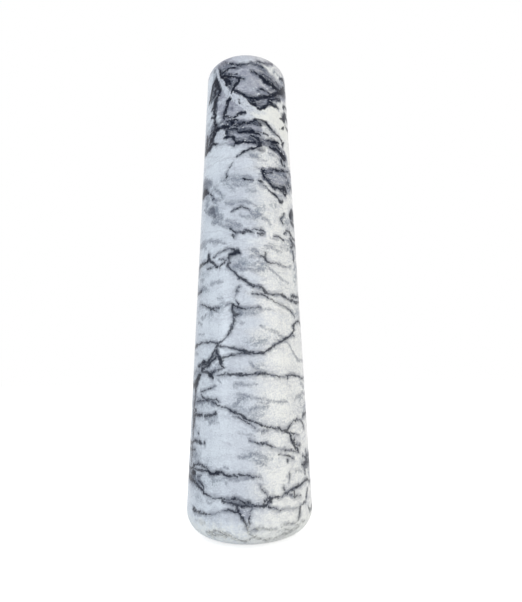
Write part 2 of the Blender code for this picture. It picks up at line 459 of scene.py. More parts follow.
    [(-70, 64.6, .5), (-64, 64.8, .4), (-59, 65.2, .3), (-54, 65.4, .12), (-48, 65.6, .08),
     (-42, 65.5, .1), (-39.5, 65.6, .3), (-37, 65.6, .25), (-33, 65.3, .28), (-29, 65, .35)],
    [(-28, 64.1, .28), (-22, 64, .23), (-16, 63.5, .23), (-10, 63, .3), (-6, 62.5, .5), (-3, 62, .64),
     (0, 61.7, .66), (3, 61.6, .46), (9, 61.6, .34), (14, 61.6, .34), (16, 61.3, .38), (18, 61.6, .26),
     (22, 62.5, .28), (26, 63.5, .33), (30, 64.4, .33), (34, 65.3, .28), (38, 66.1, .26), (42, 66.8, .28),
     (46, 67.4, .36), (50, 68.2, .4), (53, 69.2, .4)],
    [(60, 73, .35), (64, 73.5, .3), (70, 74, .3)],
    [(-24, 60.2, .2), (-18, 60.7, .22), (-12, 61, .22), (-6, 61.3, .28), (0, 61.4, .3)],
    [(52, 67.8, .2), (56, 67.6, .22)],
    [(-60, 57.4, .25), (-54, 57.7, .4), (-50, 58.5, .35), (-46, 58.8, .4), (-42, 58.9, .35),
     (-38, 59.7, .32), (-35.5, 60.6, .3), (-34, 62, .25), (-32.5, 62.9, .25), (-30.5, 63.7, .28)],
    [(-50.5, 55.7, .3), (-48, 56.6, .35), (-44, 57, .38), (-41, 57.3, .42), (-38, 58, .4), (-35, 59, .3),
     (-32.5, 60, .28), (-30, 60.6, .25), (-28, 61, .15)],
    [(-53, 57.1, .2), (-49, 57.6, .3), (-45, 57.9, .25), (-41, 58.2, .25), (-37.5, 59.1, .25)],
    [(-40, 54.2, .12), (-37, 54.6, .2), (-34, 55.1, .22), (-31, 55.6, .15), (-28, 56, .1),
     (-24, 56.3, .02)],
    [(-51, 55.4, .38), (-47, 55.2, .36), (-42, 55.3, .36), (-39, 55, .4), (-37, 54.2, .5),
     (-35, 53.7, .42), (-33, 53.2, .4)],
    [(-66, 51.2, .7), (-62, 52, .9), (-60, 52.4, 1.1), (-58, 52.8, 1.1), (-56, 53.4, .8), (-54, 54, .5),
     (-52, 54.4, .4)],
    [(-29, 54.2, .15), (-25, 54.4, .15), (-21, 54.7, .34), (-17, 54.8, .36), (-12, 54.7, .32),
     (-8, 54.2, .3), (-4, 54.2, .28), (0, 54.5, .22), (4, 54.8, .2), (8, 54.9, .38), (12, 54.9, .4),
     (15, 54.8, .4), (18, 54.6, .4), (22, 54.4, .15), (26, 54, .2), (29, 53.7, .12), (33, 53.5, 0),
     (38, 53.4, 0), (40, 53.6, .15), (42, 54, .22), (48, 54, .2), (54, 53.9, .22), (60, 53.5, .26),
     (66, 53.1, .22), (71, 52.7, .2)],
    # Below the long level vein
    [(-52, 49.3, .1), (-48, 48.9, .2), (-44, 49.2, .18), (-41, 49.6, .1), (-37, 49.8, .08),
     (-33, 50.2, .05), (-31, 50.4, 0)],
    [(-51, 47.9, .22), (-47, 47, .25), (-44, 46.4, .3), (-40, 46.3, .34), (-36, 46.2, .25), (-31, 46, .2),
     (-27, 45.7, .1), (-25.5, 45.4, .1)],
    [(-58, 45.4, .2), (-52, 45.6, .26), (-47, 45.9, .22), (-43, 46.2, .2)],
    [(-36, 45.5, .2), (-33, 45.1, .3), (-30, 44.8, .3), (-28, 44.4, .15), (-24, 44, 0), (-20, 44, .25),
     (-16, 43.3, .38), (-13, 42.7, .25), (-10, 42.4, .2), (-7, 41.9, .36), (-4, 41, .32), (-1, 40.4, .28),
     (2, 39.9, .22), (6, 39.4, .18), (10, 38.9, .16), (13, 38.3, .16), (17, 37.8, .12), (21, 37.4, .15),
     (25, 36.9, .34), (29, 37, .34), (32, 36.2, .3), (36, 36, .36), (40, 37, .33), (43, 37.8, .2),
     (47, 38.6, .12), (52, 39, .1), (57, 38.8, .18), (61, 38.2, .25)],
    [(-13, 41.3, -.2), (-9, 40.9, .02), (-5, 40.2, .1), (-1, 39.5, .08), (3, 38.6, .05), (7, 37.8, 0)],
    [(13, 36.2, .05), (16, 36.6, .1), (19, 37, .1)],
    [(-64, 39.8, .4), (-59, 40.5, .36), (-54, 40.7, .35), (-50, 40.9, .4), (-46, 41.3, .33)],
    [(-43.5, 40.8, .3), (-39, 40.8, .34), (-35, 41.1, .36), (-31, 41.6, .36), (-28, 41.7, .3)],
    [(-63, 42.2, .35), (-59, 42.3, .35), (-57, 42, .25)],
    [(62, 39.5, .5), (66, 40, .8), (70, 39.8, .5)],
    [(41, 35.2, 0), (45, 34.7, .15), (49, 34.1, 0), (54, 33.8, -.1)],
    [(47, 31, .15), (50, 30.8, .25), (55, 30.4, .1)],
    [(-67, 30.9, .4), (-62, 31.6, .42), (-57, 32.1, .36), (-52, 32.2, .36), (-48, 32.3, .48),
     (-46, 32.2, .3)],
    [(-43.5, 32.3, .35), (-41, 32.3, .3)],
    [(-53.5, 35, .25), (-51, 34.9, .35)],
    [(-66, 28.8, .25), (-61, 29, .25), (-56, 29.4, .12)],
    [(2, 33.6, .15), (6, 33, .22), (10, 32.3, .32), (14, 32.5, .36), (18, 32, .33), (22, 31.3, .25),
     (26, 30.7, -.2), (29, 30.4, -.25), (32, 30, 0), (35, 29.9, .05), (39, 29.6, .05), (43, 29.4, .1),
     (47, 28.9, .05), (50, 28.6, -.1), (53, 28, -.2)],
    [(27, 28.8, .1), (30, 28.7, .1), (34, 28.6, .1), (38, 28, .14), (41, 27.4, .18), (45, 26.8, .1)],
    # The grinding end
    [(-61, 23.8, .35), (-57, 24.2, .35), (-53, 24.9, .34), (-50, 25.3, .38), (-46, 25.2, .36),
     (-41, 24.8, .15), (-37, 24.2, .2)],
    [(-66, 22.4, .3), (-60, 22.9, .2), (-52, 23.3, .25), (-46, 23.5, .28), (-40, 23.7, .32),
     (-36.5, 23.7, .35), (-34, 23, .45), (-30, 22.8, .32), (-27.5, 23.5, .34), (-24, 23.9, .38),
     (-21.5, 23.4, .36), (-18, 22.9, .3), (-14, 22.8, .18), (-10, 22.9, .15), (-8, 23, .15)],
    [(-7, 23.4, .18), (-4, 23.3, .18), (1, 22.9, .15), (5, 22.6, .12), (9, 22.4, .1), (12, 22.3, .05)],
    [(-61, 21.3, .7), (-57, 21.6, .8), (-53, 21.7, .5)],
    [(-51, 20.9, .22), (-47, 21.4, .26), (-44, 22, .15)],
    [(-69, 19.4, .8), (-62, 19.1, .8), (-56, 18.9, .6), (-51, 18.6, .4), (-47, 18.2, .42),
     (-44, 17.6, .42), (-41, 16.9, .35), (-37, 16.4, .22), (-33, 16.1, .1), (-28, 16, .1), (-23, 15.9, .1),
     (-20, 15.9, .15), (-14, 16, .1), (-10, 16.1, .08), (-6, 15.8, .22), (-2, 15.1, .3), (3, 14.9, .25)],
    [(-50, 20, .3), (-46, 19.8, .34), (-43, 19, .3), (-41.5, 17.9, .3)],
    [(-22, 15.2, .05), (-18, 15.1, .25), (-12, 14.7, .45), (-8, 14.3, .5), (-4, 14.2, .3), (1, 14, .2),
     (6, 13.9, .3), (12, 13.9, .4), (15, 14.1, .46), (17, 14.7, .4), (18.5, 15.6, .4), (20.5, 16.3, .36),
     (23, 16.3, .26), (26, 16, .24), (30, 16.2, .26), (33, 16.8, .36), (36, 16.7, .34), (38, 17.2, .36),
     (41, 17.3, .32), (45, 17.5, .48), (50, 17.8, .5), (54, 18, .36), (58, 18.4, .34), (62, 18.6, .38),
     (66, 18.5, .4), (68, 18, .4), (71, 17.1, .3)],
    [(14, 15.2, .25), (17, 16, .35), (19.5, 15, .3)],
    [(37, 16.2, .1), (41, 15.4, 0), (46, 14.8, -.05), (52, 14.5, -.05)],
    [(17, 13.7, .25), (20, 13.2, .15), (24, 12.6, .15), (27, 12.1, .15), (33, 11.9, -.4), (40, 11.5, -.4),
     (46, 11.3, -.1), (52, 11.5, 0), (58, 11.9, .05), (61, 12.3, .1)],
    [(-57, 10.6, .48), (-54.5, 10.5, .42), (-52, 9.9, .34), (-48, 10, .32), (-44, 10.4, .3),
     (-40, 10.8, .26), (-36, 10.9, .05), (-30, 10.9, -.2), (-24, 11.6, -.3), (-20, 12.2, -.1),
     (-17, 12.5, .3), (-13, 12.7, .5), (-9, 12.2, .5)],
    [(1, 6.9, .12), (5, 7.4, .18), (10, 7.5, .15), (14, 7.4, .12), (18, 6.9, .1), (22, 6.4, .1),
     (25, 6.3, .1), (26.5, 5.4, .1)],
    [(27, 7.1, .02), (31, 7.6, .05), (36, 7.6, .02), (41, 7.1, .12), (44, 7.5, .1), (47, 8.1, .1)],
    [(28, 5.9, .15), (33, 5.8, .2), (38, 5.2, .2), (43, 5, .24), (49, 5.3, .18)],
    [(42, 6.7, .2), (47, 6, .2), (52, 6.3, .2), (57, 5.9, .15)],
    [(-39, 4.7, .25), (-35, 4.9, .36), (-32, 5.7, .32), (-28, 6.4, .28), (-23, 6.3, .26), (-20, 5.6, .32),
     (-16, 5.2, .34), (-12, 4.5, .3), (-8, 3.8, .24), (-1, 3.6, .24), (3, 4.2, .24), (6, 5.1, .24),
     (9, 4.4, .2), (14, 3.4, .2), (21, 3.3, .22), (27, 3.5, .26), (30, 4.5, .24), (34, 4.2, .2),
     (40, 4.4, .2)],
    [(-34, 4.2, .2), (-29, 4.9, .3), (-24, 5.2, .3), (-18, 4.6, .2)],
    [(2, 5.9, .15), (5, 5.6, .2), (8, 5.3, .15)],
    [(57, 26.7, .4), (60, 26.6, .35)],
    [(62, 26.2, .3), (64.5, 25.6, .45), (67, 26.3, .35)],
    [(56, 24.3, .3), (59, 23.7, .4), (62, 24.1, .5), (66, 24.4, .6), (71, 24, .5)],
    [(64, 9.6, .35), (66, 9, .5), (69, 8.4, .4)],
]

# Risers climb from bed to bed. Each point gives the height, the angle and half the thickness.
DARK_RISERS = [
    [(132.4, -13.5, -.3), (131.5, -16.5, -.05), (130.6, -18, .02), (129.6, -20, -.15), (128.6, -21.5, -.1),
     (127.6, -22.8, .2), (126.8, -22.8, .3), (126, -23.5, .1)],
    [(171.3, -45, .8), (170, -45.5, 1.4), (168.5, -44, 1.3), (167, -41.5, .8), (165.5, -37.5, .6),
     (164, -36.5, .6), (162.8, -39, .6), (161.5, -44, .9), (160, -45.5, .8), (158, -46, .8),
     (156, -45.2, .6), (154, -44.8, .6), (152, -44.2, .6), (150.5, -43.5, .6), (149, -41.5, .8)],
    [(170, -51, .3), (168, -52, .5), (166, -53.5, .5), (164.5, -56, .5), (163.2, -60, .5),
     (162.4, -63, .4)],
    [(166.5, -45, .5), (164.5, -46, .6), (162.8, -47, .4)],
    [(175.8, -39, .2), (174, -38, .35), (172.2, -36.5, .55), (170.8, -34.5, .7), (169.6, -31.5, .6),
     (168.2, -29, .5), (166.6, -27, .5), (165.3, -25.5, .4)],
    [(146.5, -24, .3), (145.2, -24, .5), (144, -24.5, .4)],
    [(160, -20.5, .5), (159, -21, .8), (157.5, -23.5, .6), (155.5, -26.5, .8), (153.5, -28.7, .9),
     (152, -29.5, .7), (151, -28, .4)],
    [(158.3, -9.5, .1), (157, -8.5, .15), (156, -6.5, .35)],
    [(155.6, -18.5, .05), (154.8, -18, .2), (154.1, -17.5, .15)],
    [(142.2, 15.5, .4), (141.3, 16.5, .5), (140.3, 18, .6), (139.2, 18, .6), (138.2, 17.2, .4)],
    [(149, -62, .3), (147, -63, .8), (144, -64, .9), (141.5, -63.5, .8), (140, -63, .4)],
    [(147.5, -46, .5), (145, -48, .7), (143, -50, .6)],
    [(129.6, 19.5, .2), (128.3, 21.5, .45), (127.2, 20.5, .5), (126.3, 22, .3), (125.5, 24.5, .1),
     (124.6, 27.5, .15), (123.8, 29.5, .2)],
    [(113.8, 50, .3), (112.6, 47.5, .35), (111.6, 45, .35), (110.8, 42.5, .45), (110, 44.5, .35),
     (109.4, 47, .25)],
    [(104, -14, .25), (102.8, -13, .22)],
    [(107, 60, .25), (105.5, 61, .3), (104, 62.5, .35), (102.6, 63, .35)],
    [(100.7, 65, .5), (99, 64.5, .4), (98.2, 66, .6), (97, 65.5, .4), (96, 65, .6)],
    [(98.2, -47, .2), (96.8, -46, .4)],
    [(97.3, 20, .12), (95.9, 20.5, .25), (95, 20.5, .3)],
    [(96, -19, .5), (94.8, -18.5, .35), (93.8, -18, .4), (93, -19, .35), (91.9, -20, .35)],
    [(84.9, -7.5, .18), (83.8, -8.5, .25), (83, -10, .3), (82.3, -9, .28)],
    [(78.4, -12.5, .35), (77.2, -13.2, .4), (76.3, -13.8, .45), (75.3, -12.3, .5), (74.2, -11.8, .42),
     (73, -12.3, .28), (72, -13, .26), (71, -15, .3), (70.4, -14.2, .34), (69.9, -13.6, .34),
     (69.3, -16.2, .24), (68.4, -18, .22), (67.2, -20, .2), (66.2, -23.2, .26), (65.5, -26.5, .26),
     (65, -29, .3)],
    [(69.3, 54, .4), (70.2, 55.2, .4), (70.9, 53.8, .45), (71.5, 54.5, .48), (72.2, 56.8, .4),
     (72.9, 59.5, .35)],
    [(64.8, -29, .35), (63.3, -29.5, .35), (62, -29.8, .35), (60.6, -28, .35), (60, -26.5, .4),
     (59, -25.3, .45), (58, -26.3, .6), (57.3, -25.5, .5), (56.7, -21.5, .25)],
    [(59.7, -23, .2), (59, -24, .3)],
    [(57, -50.5, .36), (56, -51, .36), (55.2, -51.5, .36)],
    [(54, 41, .3), (52.8, 41, .2)],
    [(52.5, -60, .7), (51.2, -62, .7), (49.5, -63, .5), (48, -63, .4), (46, -63.5, .5), (44, -65, .6),
     (42, -66.5, .7), (40, -65.5, .8), (38, -64.5, .7), (36.5, -64.5, .9), (35.4, -65, .4),
     (33, -64.5, .3), (28, -65, .3), (24, -64.5, .3)],
    [(42.5, -62, .2), (40, -61, .3), (38.5, -61.5, .35), (37, -62, .2)],
    [(38.4, 60.5, .25), (37.3, 62.5, .25), (36, 64, .35), (35, 65, .2)],
    [(36, 36.5, .35), (35, 39.2, .33), (34.2, 41.5, .36), (33.3, 42, .36), (32.3, 43.5, .42),
     (31.4, 45.5, .5), (30.6, 47, .36), (29.7, 48.5, .42), (29, 50, .36), (28.2, 52, .2)],
    [(33.4, 47, .2), (32.6, 45.6, .25), (31.8, 46, .25)],
    [(23, 38.8, -.1), (22, 39, 0), (21, 38.6, -.1), (19.8, 37.6, -.2)],
    [(20.4, 11.5, -.1), (19.4, 12, .02), (18.5, 13.2, .08), (17.4, 15, .1), (16.4, 17.5, .2)],
    [(19.5, 31, .1), (18.3, 31.5, .18), (17.2, 33, .2)],
    [(17.3, 42, .25), (16.2, 42.5, .24), (15.4, 43, .2)],
    [(15.6, 65, .24), (14.5, 64, .28), (13.3, 62, .28), (12.4, 60.5, .24)],
    [(11.5, 49, .34), (10.5, 49, .36), (9.3, 48, .34), (8.2, 46.5, .3), (7.4, 45.5, .2)],
    [(14.3, -9, .42), (13.2, -8.6, .46), (12.1, -7, .46), (11, -4.9, .4), (10, -3.2, .38), (9, -2, .3),
     (8, -1, .26), (7, 1, .28), (6.3, 2, .2), (5.5, 3.5, .2)],
    [(14, 4, .1), (12.6, 3, .16), (11.5, 1.6, .18), (10.2, 1, .15), (9, 1, .1), (8, .4, .08)],
    [(25, 59.5, .3), (23.3, 60, .34), (21.7, 61, .32), (20.2, 62.5, .3)],
    [(28, 66, .2), (26, 66, .4), (24.5, 68, .4)],
    [(27.4, 37.5, .05), (26.2, 37.6, .1), (25.4, 38, -.3)],
]

# Fainter veins, grey and soft.
GREY_VEINS = [
    [(27, 136.3, .2), (35, 136.1, .5), (43, 135.9, .5), (49, 136.2, .2)],
    [(22, 172.9, .3), (27, 172.4, .6), (34, 171.6, .7), (41, 171, .5), (47, 170.8, .2)],
    [(-30, 174.3, .3), (-24, 174.2, .5), (-18, 173.9, .3)],
    [(-46, 174, .4), (-44, 175.5, .4), (-46, 177, .4)],
    [(-12, 169.6, .3), (-7, 168.2, .6), (-3, 167.4, .7), (1, 167, .4)],
    [(8, 169, .3), (14, 168.3, .4), (19, 167.5, .3)],
    [(20, 157, .3), (25, 157.9, .4), (30, 158.9, .3)],
    [(-60, 160.5, .3), (-55, 160, .4), (-51, 160.3, .3)],
    [(-66, 150.5, .4), (-60, 150.3, .5), (-54, 150.6, .5), (-48, 151, .4)],
    [(-28.5, 125.3, .25), (-22, 125.1, .2), (-15, 125.1, .18), (-8, 125.1, .22), (-3, 125.3, .2)],
    [(-7, 126.2, .1), (-1, 126.4, .2), (6, 126, .2), (11, 125.2, .1)],
    [(-15, 123, .1), (-8, 122.7, .25), (-2, 122.4, .25), (3, 122.8, .1)],
    [(4, 120.6, .25), (9, 120.3, .35), (12, 120.8, .15)],
    [(5, 134.8, .2), (9, 134.1, .5), (14, 133.7, .6), (17, 133.6, .2)],
    [(14, 133, .15), (20, 132.8, .2), (25, 133.3, .12)],
    [(-66, 128.9, 1.6), (-60, 127.8, 2), (-54, 126.9, 1.6), (-48, 126.3, 1), (-44, 126, .4)],
    [(-41.5, 123.8, .3), (-38, 122.6, .4), (-35, 121.9, .33), (-32, 121.3, .33), (-30, 120.5, .4),
     (-28.5, 119.3, .4), (-27, 118.2, .25)],
    [(-62, 117.2, .4), (-56, 115.8, .5), (-51, 114.5, .7), (-46, 114.8, .9), (-41, 114.4, .9),
     (-38, 113.2, .8), (-35.5, 112.2, .6), (-32, 111.3, .6), (-29, 110.7, .6), (-26, 110.3, .4)],
    [(-60, 121.6, .3), (-54, 120.9, .7), (-49, 120.2, .4)],
    [(-43, 118.4, .3), (-38, 118.4, .7), (-33, 118.2, .7), (-29, 117.8, .3)],
    [(-44, 110.2, .3), (-40, 109.8, .5), (-35, 109.8, .4), (-31, 108.8, .3), (-26, 107.6, .6),
     (-21, 107.4, .6), (-16, 107.2, .3)],
    [(-26, 116.2, .2), (-20, 115.8, .4), (-14, 115.4, .3)],
    [(-23, 109.6, .3), (-17, 109, .6), (-12, 108, .4), (-7, 107, .6), (-3, 106.7, .3)],
    [(-12, 115.6, .2), (-7, 116, .25), (-2, 116.3, .35), (3, 115.9, .25), (8, 115.3, .22),
     (12, 114.5, .15)],
    [(-7, 111.5, .15), (-4, 110.7, .25), (0, 110.1, .25), (5, 110.3, .12)],
    [(4, 112.4, .2), (7, 111.4, .9), (10, 110.8, 1), (14, 111, .7), (20, 111.2, .2)],
    [(-68, 103, 1.2), (-61, 102.9, 1.5), (-57, 102.7, 1.5), (-53, 102.7, 1.2), (-50, 102.9, .5)],
    [(-57, 100.6, .4), (-50, 100.7, .4)],
    [(-50, 103.7, .4), (-45, 103.1, .6), (-41, 102.6, .7), (-37, 102.1, .7), (-33, 101.8, .6),
     (-30, 101.4, .5), (-26, 100.9, .3), (-22, 100.7, .2)],
    [(18, 110.4, .4), (22, 110, .7), (26, 109.1, .6), (28.5, 108.5, .3)],
    [(45, 103, .25), (50, 102.9, .28), (54, 103.4, .3), (58, 102.8, .3), (61, 102, .3)],
    [(27, 103.2, .15), (32, 102.7, .25), (38, 102.4, .2)],
    [(24, 100.3, .15), (32, 99.9, .25), (40, 100, .2), (50, 99.7, .25), (58, 100, .35), (64, 100.2, .4)],
    [(19, 99, .3), (25, 98.9, .6), (31, 98.5, .6), (36, 98.5, .4), (42, 98.4, .2)],
    [(-50, 97.3, .2), (-47, 98.3, .35), (-44, 98.1, .2)],
    [(-14, 92.6, .4), (-11, 92.1, .6), (-8, 91.5, .75), (-5.5, 90.9, .7), (-3, 89.9, .3)],
    [(-4, 90.8, .15), (3, 90.6, .25), (10, 90.5, .3), (15, 91, .35), (20, 90.7, .2)],
    [(2, 95.3, .15), (9, 95.4, .25), (15, 95.5, .3)],
    [(9, 92.6, .2), (12, 93.5, .25), (16, 93.4, .25), (18, 92.6, .2)],
    [(5, 97.6, .3), (9, 97.3, .5), (14, 96.6, .3)],
    [(24, 91.7, .1), (32, 89.8, .2), (38, 88.2, .2), (44, 87.5, .2), (50, 87, .12)],
    [(48, 93, .2), (53, 93.4, .25), (59, 93.8, .15)],
    [(-64, 89.2, .5), (-58, 88.9, .5), (-53, 88.7, .3)],
    [(-41.5, 86.7, .4), (-37, 86.8, .36), (-33, 86.7, .3), (-28, 86.5, .26), (-24, 86.3, .18)],
    [(-64, 85.2, .5), (-58, 85.5, .5), (-52, 85.8, .4), (-47, 84.9, .4)],
    [(-31, 81.3, .15), (-27, 80.8, .3), (-24, 80.9, .15)],
    [(-62, 80, .2), (-58, 79.7, .25)],
    [(4, 84.5, .12), (9, 84, .25), (14, 83.5, .15)],
    [(-12, 79.8, .3), (-9, 80.8, .3), (-10, 82, .2)],
    [(-8, 75.4, .3), (-3, 74.9, .35), (3, 74.8, .25), (10, 74.9, .12)],
    [(12, 76.2, .15), (20, 76.4, .22), (29, 76, .15)],
    [(-7, 71.8, .2), (-4, 71.5, .35), (-1, 71.8, .15)],
    [(-57, 75.2, .2), (-52, 74.3, .4), (-47, 75, .4)],
    [(-64, 73.3, .3), (-58, 72.8, .3), (-54, 72.2, .15)],
    [(-62, 69, .2), (-55, 68.8, .25), (-48, 68.2, .15)],
    [(14, 70.4, .2), (19, 69.8, .26), (24, 69.2, .28), (28, 68.5, .3), (32, 67.9, .32), (36, 67, .34),
     (39, 66.3, .3), (43, 65.1, .26), (47, 64.3, .24), (50, 63, .36), (52, 62, .24), (55, 60.8, .26),
     (59, 59.7, .34), (64, 59, .4), (68, 59, .3)],
    [(26, 66, .15), (31, 66, .25), (35, 65, .2)],
    [(2, 58.4, .2), (5, 57.7, .35), (8, 56.7, .35), (10, 56.4, .2)],
    [(-28, 52.6, .2), (-26, 52.2, .25), (-24.5, 51.5, .2)],
    [(-66, 55.6, .5), (-60, 55.7, .5), (-55, 55.9, .25)],
    [(-66, 62, .3), (-58, 61.6, .25)],
    [(-12, 51, .4), (-7, 51, .6), (-2, 51, .5), (3, 51.1, .28), (10, 51.2, .1)],
    [(-8, 48, .28), (-4, 47.8, .38), (0, 47.2, .34), (6, 47, .26), (14, 46.7, .26), (20, 46, .26),
     (27, 45.4, .3), (34, 45.3, .36), (40, 45.2, .25)],
    [(-12, 44.7, .3), (-9, 45.3, .6), (-6, 46.3, .6), (-3, 46.9, .3)],
    [(1, 42.2, .28), (3, 43, .3), (6, 43.7, .36), (10, 43.9, .3), (15, 43.5, .28), (18, 43.7, .3),
     (21, 44, .15)],
    [(10, 45.4, .12), (16, 45, .2), (22, 45.2, .12)],
    [(51, 45.8, .3), (55, 47, .6), (60, 46.5, .6), (65, 48, .5)],
    [(62, 51, .4), (67, 50.5, .4)],
    [(-38, 39, .25), (-31, 39.2, .35), (-26, 39, .2)],
    [(-66, 46.9, .5), (-61, 46.9, .45), (-56, 46.9, .3)],
    [(-66, 44.8, .6), (-58, 45, .6), (-51, 45, .5), (-45, 45.2, .2)],
    [(-8, 36, .12), (0, 35.7, .22), (8, 35.2, .2)],
    [(5, 37, .12), (10, 36.8, .2), (13, 36.3, .15)],
    [(-7, 28.6, .25), (-1, 28.4, .3), (3, 29.4, .36), (8, 29.5, .36), (13, 28.7, .3), (18, 27.9, .18)],
    [(6, 26.9, .2), (12, 26.6, .25), (17, 26.1, .15)],
    [(-20, 22.2, .25), (-12, 22, .3), (-2, 22.1, .3), (6, 22.2, .2)],
    [(-21, 25.3, .25), (-16, 25.2, .25)],
    [(-19, 20.4, .15), (-16, 20.3, .2)],
    [(-60, 26.5, .3), (-56, 27, .5), (-54, 28.3, .3)],
    [(46, 23, .25), (51, 22.7, .35), (56, 21.9, .3)],
    [(-38, 15, .2), (-34, 14.2, .25), (-30, 14.7, .15)],
    [(-52, 7.6, .2), (-46, 7.4, .3), (-38, 7.8, .2)],
]

# Grey stone between the dark veins: the middle height of each patch and half its depth.
GREY_PATCHES = [
    [(-39, 176, .8), (-35, 174.8, 2.2), (-30, 173, 5), (-20, 168.6, 6.6), (-10, 166.7, 6.3),
     (0, 165.5, 6.7), (10, 165.2, 8.8), (20, 165, 9.6), (28, 164.9, 8), (36, 164.6, 5.9), (45, 164.8, 4.8),
     (52, 166, 3.9), (60, 168, 4), (70, 170, 5)],
    [(-49, 158.4, 3), (-45, 159.4, 3.2), (-38, 159.2, 3.9), (-30, 156.8, 6), (-24, 155.4, 6),
     (-20, 154.4, 5), (-12, 154.5, 3.8), (-6, 153.9, 2.6), (0, 153.5, 1.6), (4, 153, .5)],
    [(-68, 145, 4.5), (-50, 145, 4.5), (-44, 148, 1.6), (-36, 148.6, .8), (-30, 148, 1.4),
     (-26, 146.6, 2.8), (-20, 145, 5), (-10, 144.4, 5.6), (0, 144, 5.8), (10, 144.2, 5.5),
     (15, 143.8, 4.8), (20, 142.8, 3), (25, 141, 1), (30, 140.2, 1.2), (40, 139.6, 2.2), (50, 138.9, 2.4),
     (58, 138.4, 2.6), (64, 138, 2)],
    [(19, 128, .8), (24, 127.3, 2.4), (30, 127.1, 3.2), (40, 127.9, 3), (50, 127.8, 3.8), (60, 128.2, 4.8),
     (67, 130, 4.5), (75, 131, 4)],
    [(-7, 12.6, .6), (-3, 12, 1), (1, 11.8, .6)],
]

